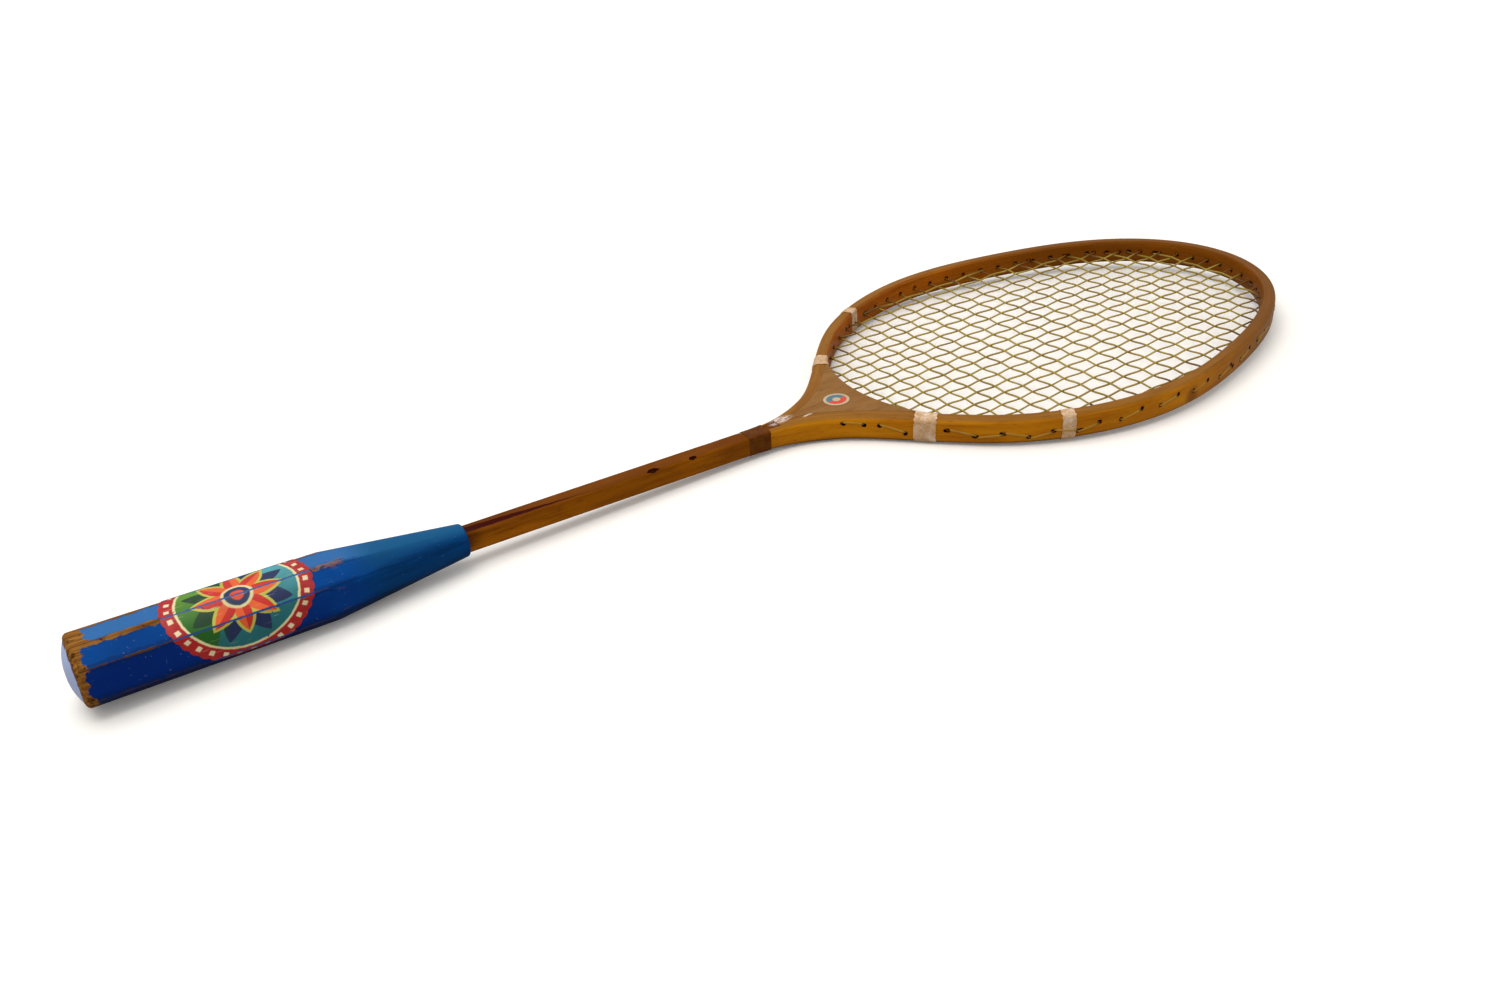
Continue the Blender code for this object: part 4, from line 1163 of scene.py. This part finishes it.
feed_all(shader, Base_Color=wood, Roughness=scaled(blotch, 0.22, 0.3),
         Coat_Weight=scaled(white_marks, -0.08, 0.10),
         Normal=bumps(scaled(grain["Fibres"], 0.5, grain["Pores"]), 0.00006))
wedge.data.materials[0] = wedge_varnish
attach(wedge, "root")
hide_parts("throat_wedge")
bpy.data.objects.remove(main_drill)
bpy.data.objects.remove(cross_drill)

# Splice band. The real one is a strip of brown cloth glued round the joint of shaft and hoop, worn
# thin enough for the wood to show through.
BAND_START = 0.3100
BAND_END = 0.3222
BAND_LIFT = 0.00022
BAND_RINGS = 13
BAND_SHEET = 0.00016
BAND_ROUND = 0.0014
CORNER_STEPS = 7


def rounded_section(low, high, half_depth, low_round, high_round):
    """Points round a section with rounded corners, from its inner face round by the top."""
    points = []
    corners = ((high - high_round, high_round, 1, 0), (low + low_round, low_round, 1, 90),
               (low + low_round, low_round, -1, 180), (high - high_round, high_round, -1, 270))
    for across, radius, side, start in corners:
        for i in range(CORNER_STEPS):
            angle = math.radians(start + 90 * i / (CORNER_STEPS - 1))
            points.append((across + radius * math.cos(angle),
                           side * (half_depth - radius) + radius * math.sin(angle)))
    return points


def wound_strip(name, width, rings, sheet, place_at, on_head=False):
    """A strip wound once round the wood: place_at(share of its width, number round) is a point."""
    steps = 4 * CORNER_STEPS
    strip = start_piece(name, bpy.ops.mesh.primitive_cylinder_add,
                        vertices=steps, radius=0.006, depth=width, end_fill_type="NOTHING")
    pick(strip, "EDGE", lambda ends: abs(ends[0].z - ends[1].z) > 0.001)
    bpy.ops.mesh.subdivide(number_cuts=rings - 2)
    close_edit()
    places = []
    for vertex in strip.data.vertices:
        number = round(math.atan2(vertex.co.y, vertex.co.x) / (2 * math.pi) * steps) % steps
        places.append(place_at((vertex.co.z + width / 2) / width, number))
    lay(strip, places)
    if on_head:
        lay_set_up(strip)
    face_outwards(strip)
    apply_step(strip, "SOLIDIFY", thickness=sheet, offset=-1.0)
    soften(strip, 40)
    return strip


def band_place(share, number):
    x = BAND_START + (BAND_END - BAND_START) * share
    half_width = float(np.interp(x, outline[:, 0], outline[:, 1])) if x > NECK_X else 0
    half_width = max(half_width, SHAFT_WIDTH / 2) + BAND_LIFT
    y, z = rounded_section(-half_width, half_width, neck_depth(x) / 2 + BAND_LIFT,
                           BAND_ROUND, BAND_ROUND)[number]
    lift = math.tan(HEAD_SET) * max(x - NECK_X, 0) ** 2 / (2 * BEND_LENGTH)
    return BUTT_X + x, y, AXIS_Z + lift + z


band = wound_strip("splice_binding", BAND_END - BAND_START, BAND_RINGS, BAND_SHEET, band_place)
band_cloth, tree, shader, surface = new_finish("brown_binding", Coat_Weight=0.03,
                                               Coat_Roughness=0.3, Specular_IOR_Level=0.05)
weave = put("TexWave", {"Vector": stretched(surface, (2600, 0, 0)), "Scale": 1.0,
                        "Distortion": 0.6})["Fac"]
threads = cloud(surface, (3000, 600, 600))
worn = cloud(surface, 300.0, 4.0, 0.65)
cloth = mixed(between(worn, 0.3, 0.65), (90, 42, 0), (114, 62, 4))
cloth = tinted(cloth, weave, 0.35, (50, 22, 2))
cloth = tinted(cloth, between(threads, 0.6, 0.75), 0.4, (134, 92, 48))
feed_all(shader, Base_Color=cloth, Roughness=scaled(worn, 0.25, 0.38),
         Normal=bumps(scaled(weave, 0.6, threads), 0.00005))
band.data.materials.append(band_cloth)
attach(band, "root")
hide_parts("splice_band")

# Strings. The real ones are thin olive cords, one for the mains and one for the crosses, each woven
# over and under the other and led from hole to hole round the outside of the hoop.
WEAVE = 0.00040
CROSSING_ROOM = 0.002
LINK_LIFT = -0.00012
LINK_END = 0.0011
LINK_STEP = 0.0035
MOUTH_DEPTH = 0.0008
TAPE_LIFT = 0.00032
TAPE_ROOM = 0.001
CLEAN_REACH = 0.024
STAIN_REACH = 0.010
TAPES = ((0.0792, 0.0110), (0.1510, 0.0068))
half_mains = MAIN_COUNT // 2
main_lines = [(k + 0.5) * MAIN_PITCH for k in range(-half_mains, half_mains)]
cross_lines = [cross_x(i) for i in range(CROSS_COUNT)]


def woven(places, start, end, first_sign):
    """Distances along a straight string and its height there, over and under what it crosses."""
    low, high = min(start, end), max(start, end)
    crossed = [(n, p) for n, p in enumerate(places)
               if low + CROSSING_ROOM < p < high - CROSSING_ROOM]
    marks = []
    for (n, p), (_, q) in zip(crossed, crossed[1:]):
        for t in (0, 0.25, 0.5, 0.75):
            marks.append((p + (q - p) * t, first_sign * (-1) ** n * math.cos(math.pi * t) * WEAVE))
    n, p = crossed[-1]
    marks.append((p, first_sign * (-1) ** n * WEAVE))
    return marks if start < end else marks[::-1]


def round_outside(side_a, run_a, height_a, side_b, run_b, height_b):
    """The string over the outer face from one hole to the next, through the tip if need be."""
    start = side_a * (tip_run - run_a)
    end = side_b * (tip_run - run_b)
    count = max(2, math.ceil(abs(end - start) / LINK_STEP))
    margin = min(LINK_END / abs(end - start), 0.3)
    places = []
    for i in range(count + 1):
        t = margin + (1 - 2 * margin) * i / count
        q = start + (end - start) * t
        at_run = tip_run - abs(q)
        lift = LINK_LIFT
        for tape_start, tape_width in TAPES:
            if tape_start - TAPE_ROOM < at_run < tape_start + tape_width + TAPE_ROOM:
                lift += TAPE_LIFT
        places.append(hole_mouth(1 if q >= 0 else -1, at_run, lift,
                                 height_a + (height_b - height_a) * t))
    return places


def string_route(turns):
    """The whole path of a string. Its points carry 1 on the outside links, -1 where varnish stains
    them at the holes, and 0 elsewhere."""
    route = []
    for n, (start_hole, start_bend, straight, end_bend, end_hole) in enumerate(turns):
        if n:
            route += [(*place, 1) for place in round_outside(*turns[n - 1][4], *start_hole)]
        ends = []
        stains = np.zeros(len(straight))
        for hole, bend in ((start_hole, start_bend), (end_hole, end_bend)):
            stain = -1 if bend[0] > WEDGE_X + CLEAN_REACH else 0
            ends.append([(*hole_mouth(*hole[:2], -MOUTH_DEPTH, hole[2]), stain), (*bend, stain)])
            gaps = np.linalg.norm(np.array(straight) - bend, axis=1)
            reach = STAIN_REACH * abs(bend[1]) * 2 / HEAD_WIDTH
            stains = np.minimum(stains, stain * np.clip(1.6 - gaps / reach, 0, 1))
        route += ends[0] + [(*place, stain) for place, stain in zip(straight, stains)]
        route += ends[1][::-1]
    return np.array(route)


main_turns = []
for n in range(MAIN_COUNT):
    side = 1 if n < half_mains else -1
    k = half_mains - 1 - n if side > 0 else n - half_mains
    line = half_mains + k if side > 0 else half_mains - 1 - k
    y, throat, tip, last_run, tip_height = main_bends(k)
    throat_run, throat_height = main_hole(k)
    ends = [((side, last_run, tip_height), np.array([tip, side * y, STRING_RADIUS])),
            ((side, throat_run, throat_height + STRING_RADIUS),
             np.array([throat, side * y, STRING_RADIUS]))]
    if n % 2:
        ends.reverse()
    (first_hole, first_bend), (last_hole, last_bend) = ends
    straight = [np.array([x, side * y, z])
                for x, z in woven(cross_lines, first_bend[0], last_bend[0], (-1) ** line)]
    main_turns.append((first_hole, first_bend, straight, last_bend, last_hole))
cross_turns = []
for i in range(CROSS_COUNT):
    at_run, height, x, inner = cross_end(i)
    sides = (-1, 1) if i % 2 == 0 else (1, -1)
    first_bend, last_bend = [np.array([x, side * inner, -STRING_RADIUS]) for side in sides]
    first_hole, last_hole = [(side, at_run, height - STRING_RADIUS) for side in sides]
    straight = [np.array([x, y, z])
                for y, z in woven(main_lines, first_bend[1], last_bend[1], -((-1) ** i))]
    cross_turns.append((first_hole, first_bend, straight, last_bend, last_hole))


def drawn_string(name, route):
    """A string along its route, noting how far along and round it each point is, and its marks."""
    marks = route[:, 3]
    route = set_up(route[:, :3])
    bpy.ops.object.select_all(action="DESELECT")
    line = bpy.data.curves.new(name, "CURVE")
    line.dimensions = "3D"
    line.bevel_depth = STRING_RADIUS
    line.bevel_resolution = 1
    line.use_fill_caps = True
    spline = line.splines.new("POLY")
    spline.points.add(len(route) - 1)
    for point, place in zip(spline.points, route):
        point.co = (*place, 1)
    string = bpy.data.objects.new(name, line)
    bpy.context.scene.collection.objects.link(string)
    activate(string)
    bpy.ops.object.convert(target="MESH")
    string = bpy.context.object
    face_outwards(string, weld=1e-7)
    points = np.arange(len(string.data.vertices))
    sides = len(points) // len(route)
    steps = np.concatenate([[0], np.cumsum(np.linalg.norm(np.diff(route, axis=0), axis=1))])
    rows = np.minimum(points // sides, len(route) - 1)
    twist = string.data.attributes.new("twist", "FLOAT_VECTOR", "POINT")
    notes = np.column_stack([steps[rows], (points % sides) / sides, marks[rows]])
    twist.data.foreach_set("vector", notes.ravel())
    soften(string, 60)
    return string


string_gut, tree, shader, surface = new_finish("olive_string", Coat_Roughness=0.25,
                                               Specular_IOR_Level=0.3)
spot = parts(put("Attribute", {}, tree, attribute_name="twist")["Vector"])
strand = value("SINE", times(scaled(spot[0], 620.0, spot[1]), 2 * math.pi))
strand = scaled(strand, 0.5, 0.5)
aged = cloud(surface, (60, 60, 60), 3.0)
gut = mixed(between(aged, 0.35, 0.68), (172, 146, 54), (150, 122, 34))
gut = tinted(gut, strand, 0.25, (128, 104, 28))
gut = mixed(times(spot[2], 0.7, clamp=True), gut, (176, 124, 28))
gut = mixed(times(spot[2], -0.9, clamp=True), gut, (104, 56, 6))
feed_all(shader, Base_Color=gut, Roughness=scaled(aged, 0.25, 0.3),
         Normal=bumps(strand, 0.00005))
for name, turns, node in (("woven_mains", main_turns, "main_string"),
                          ("woven_crosses", cross_turns, "cross_string")):
    string = drawn_string(name, string_route(turns))
    string.data.materials.clear()
    string.data.materials.append(string_gut)
    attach(string, "root")
    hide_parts(node)

# Tapes. The real ones are strips of pale sticking tape wound once round the hoop at its shoulders
# and sides. They have yellowed, wrinkled and gone half clear, and the wood shows through.
TAPE_RINGS = 15
TAPE_SHEET = 0.00020
TAPE_FRAY = 0.00022
TAPE_WRINKLE = 0.00006


def tape_place(side, start, width, seed):
    """Points of a tape. Where the wedge backs the hoop, the tape goes round the wedge too."""
    def point_at(share, number):
        fray = math.sin(number * 1.7 + seed) + 0.6 * math.sin(number * 4.3 + 2 * seed)
        at_run = start + width * share + TAPE_FRAY * fray * (2 * share - 1) ** 2
        edge = on_outline(at_run, 0)
        away = outward_at(at_run)
        wall = WALL
        for inset in np.arange(WALL, 2 * WALL, 0.0002):
            if edge[0] - away[0] * inset < wedge_edge(abs(edge[1] - away[1] * inset)):
                wall = inset
        lift = TAPE_LIFT + TAPE_WRINKLE * math.sin(number * 2.9 + share * 9 + seed)
        depth_in, z = rounded_section(
            -lift, wall + lift, DEPTH / 2 + lift, outer_round(at_run) + lift,
            max(inner_round(at_run), 0.0008) + lift)[number]
        x, y = edge - away * depth_in
        return x, side * y, z
    return point_at


tape_film, tree, shader, surface = new_finish("aged_tape", Coat_Roughness=0.3,
                                              Specular_IOR_Level=0.3)
mottle = cloud(surface, 420.0, 4.0, 0.65)
crinkle = cloud(surface, (500, 500, 1500), 3.0, 0.6, 0.8)
film = mixed(between(mottle, 0.3, 0.66), (212, 180, 146), (190, 148, 100))
film = tinted(film, between(crinkle, 0.5, 0.68), 0.6, (160, 102, 36))
film = tinted(film, between(cloud(surface, 150.0), 0.52, 0.68), 0.6, (230, 208, 188))
feed_all(shader, Base_Color=film, Roughness=scaled(mottle, 0.3, 0.3),
         Coat_Weight=scaled(mottle, -0.15, 0.25),
         Normal=bumps(scaled(crinkle, 0.7, mottle), 0.00012))
tape_number = 0
for spot_name, (start, width) in zip(("shoulder", "side"), TAPES):
    for side_name, side in (("near", -1), ("far", 1)):
        tape = wound_strip(f"{spot_name}_wrap_{side_name}", width, TAPE_RINGS, TAPE_SHEET,
                           tape_place(side, start, width, tape_number * 1.9), on_head=True)
        tape.data.materials.append(tape_film)
        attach(tape, "root")
        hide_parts(f"{spot_name}_tape_{side_name}")
        tape_number += 1

# Roundel. The real one is a small round paper seal stuck on the wedge. This one is cream, with a
# plain ring in two colours.
ROUNDEL_X = 0.3660
ROUNDEL_RADIUS = 0.0067
ROUNDEL_PAPER = 0.00012
roundel_middle = DEPTH / 2 + PASTE + ROUNDEL_PAPER / 2
roundel = start_piece(
    "roundel", bpy.ops.mesh.primitive_cylinder_add,
    vertices=64, radius=ROUNDEL_RADIUS, depth=ROUNDEL_PAPER,
    location=(ROUNDEL_X, 0, roundel_middle),
)
pick(roundel, "FACE", lambda ends: min(e.z for e in ends) > roundel_middle)
bpy.ops.mesh.inset(thickness=0.0004, depth=0.00004)
bpy.ops.mesh.inset(thickness=0.0030)
close_edit()
lay_set_up(roundel)
soften(roundel, 40)
roundel_print, tree, shader, surface = new_finish("roundel_print", Coat_Weight=0.15,
                                                  Coat_Roughness=0.25, Specular_IOR_Level=0.25)
spot = parts(put("VectorMath", {0: surface, 1: (-BUTT_X - ROUNDEL_X, 0, 0)}, operation="ADD")[0])
mottle = cloud(surface, 700.0, 3.0)
reach = scaled(mottle, 0.0004, distance(spot[0], spot[1]))
paper = mixed(mottle, (204, 184, 148), (170, 146, 108))
halves = mixed(between(spot[1], 0.0003, -0.0003), (72, 108, 122), (206, 52, 28))
ring = times(between(reach, 0.0021, 0.0024), between(reach, 0.0056, 0.0053))
paper = mixed(ring, paper, halves)
scuffs = between(cloud(surface, 1300.0, 3.0, 0.7), 0.6, 0.66)
paper = tinted(paper, scuffs, 0.5, (176, 150, 116))
feed_all(shader, Base_Color=paper, Roughness=scaled(mottle, 0.2, 0.32),
         Normal=bumps(mottle, 0.00004))
roundel.data.materials.append(roundel_print)
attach(roundel, "root")
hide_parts("throat_roundel")
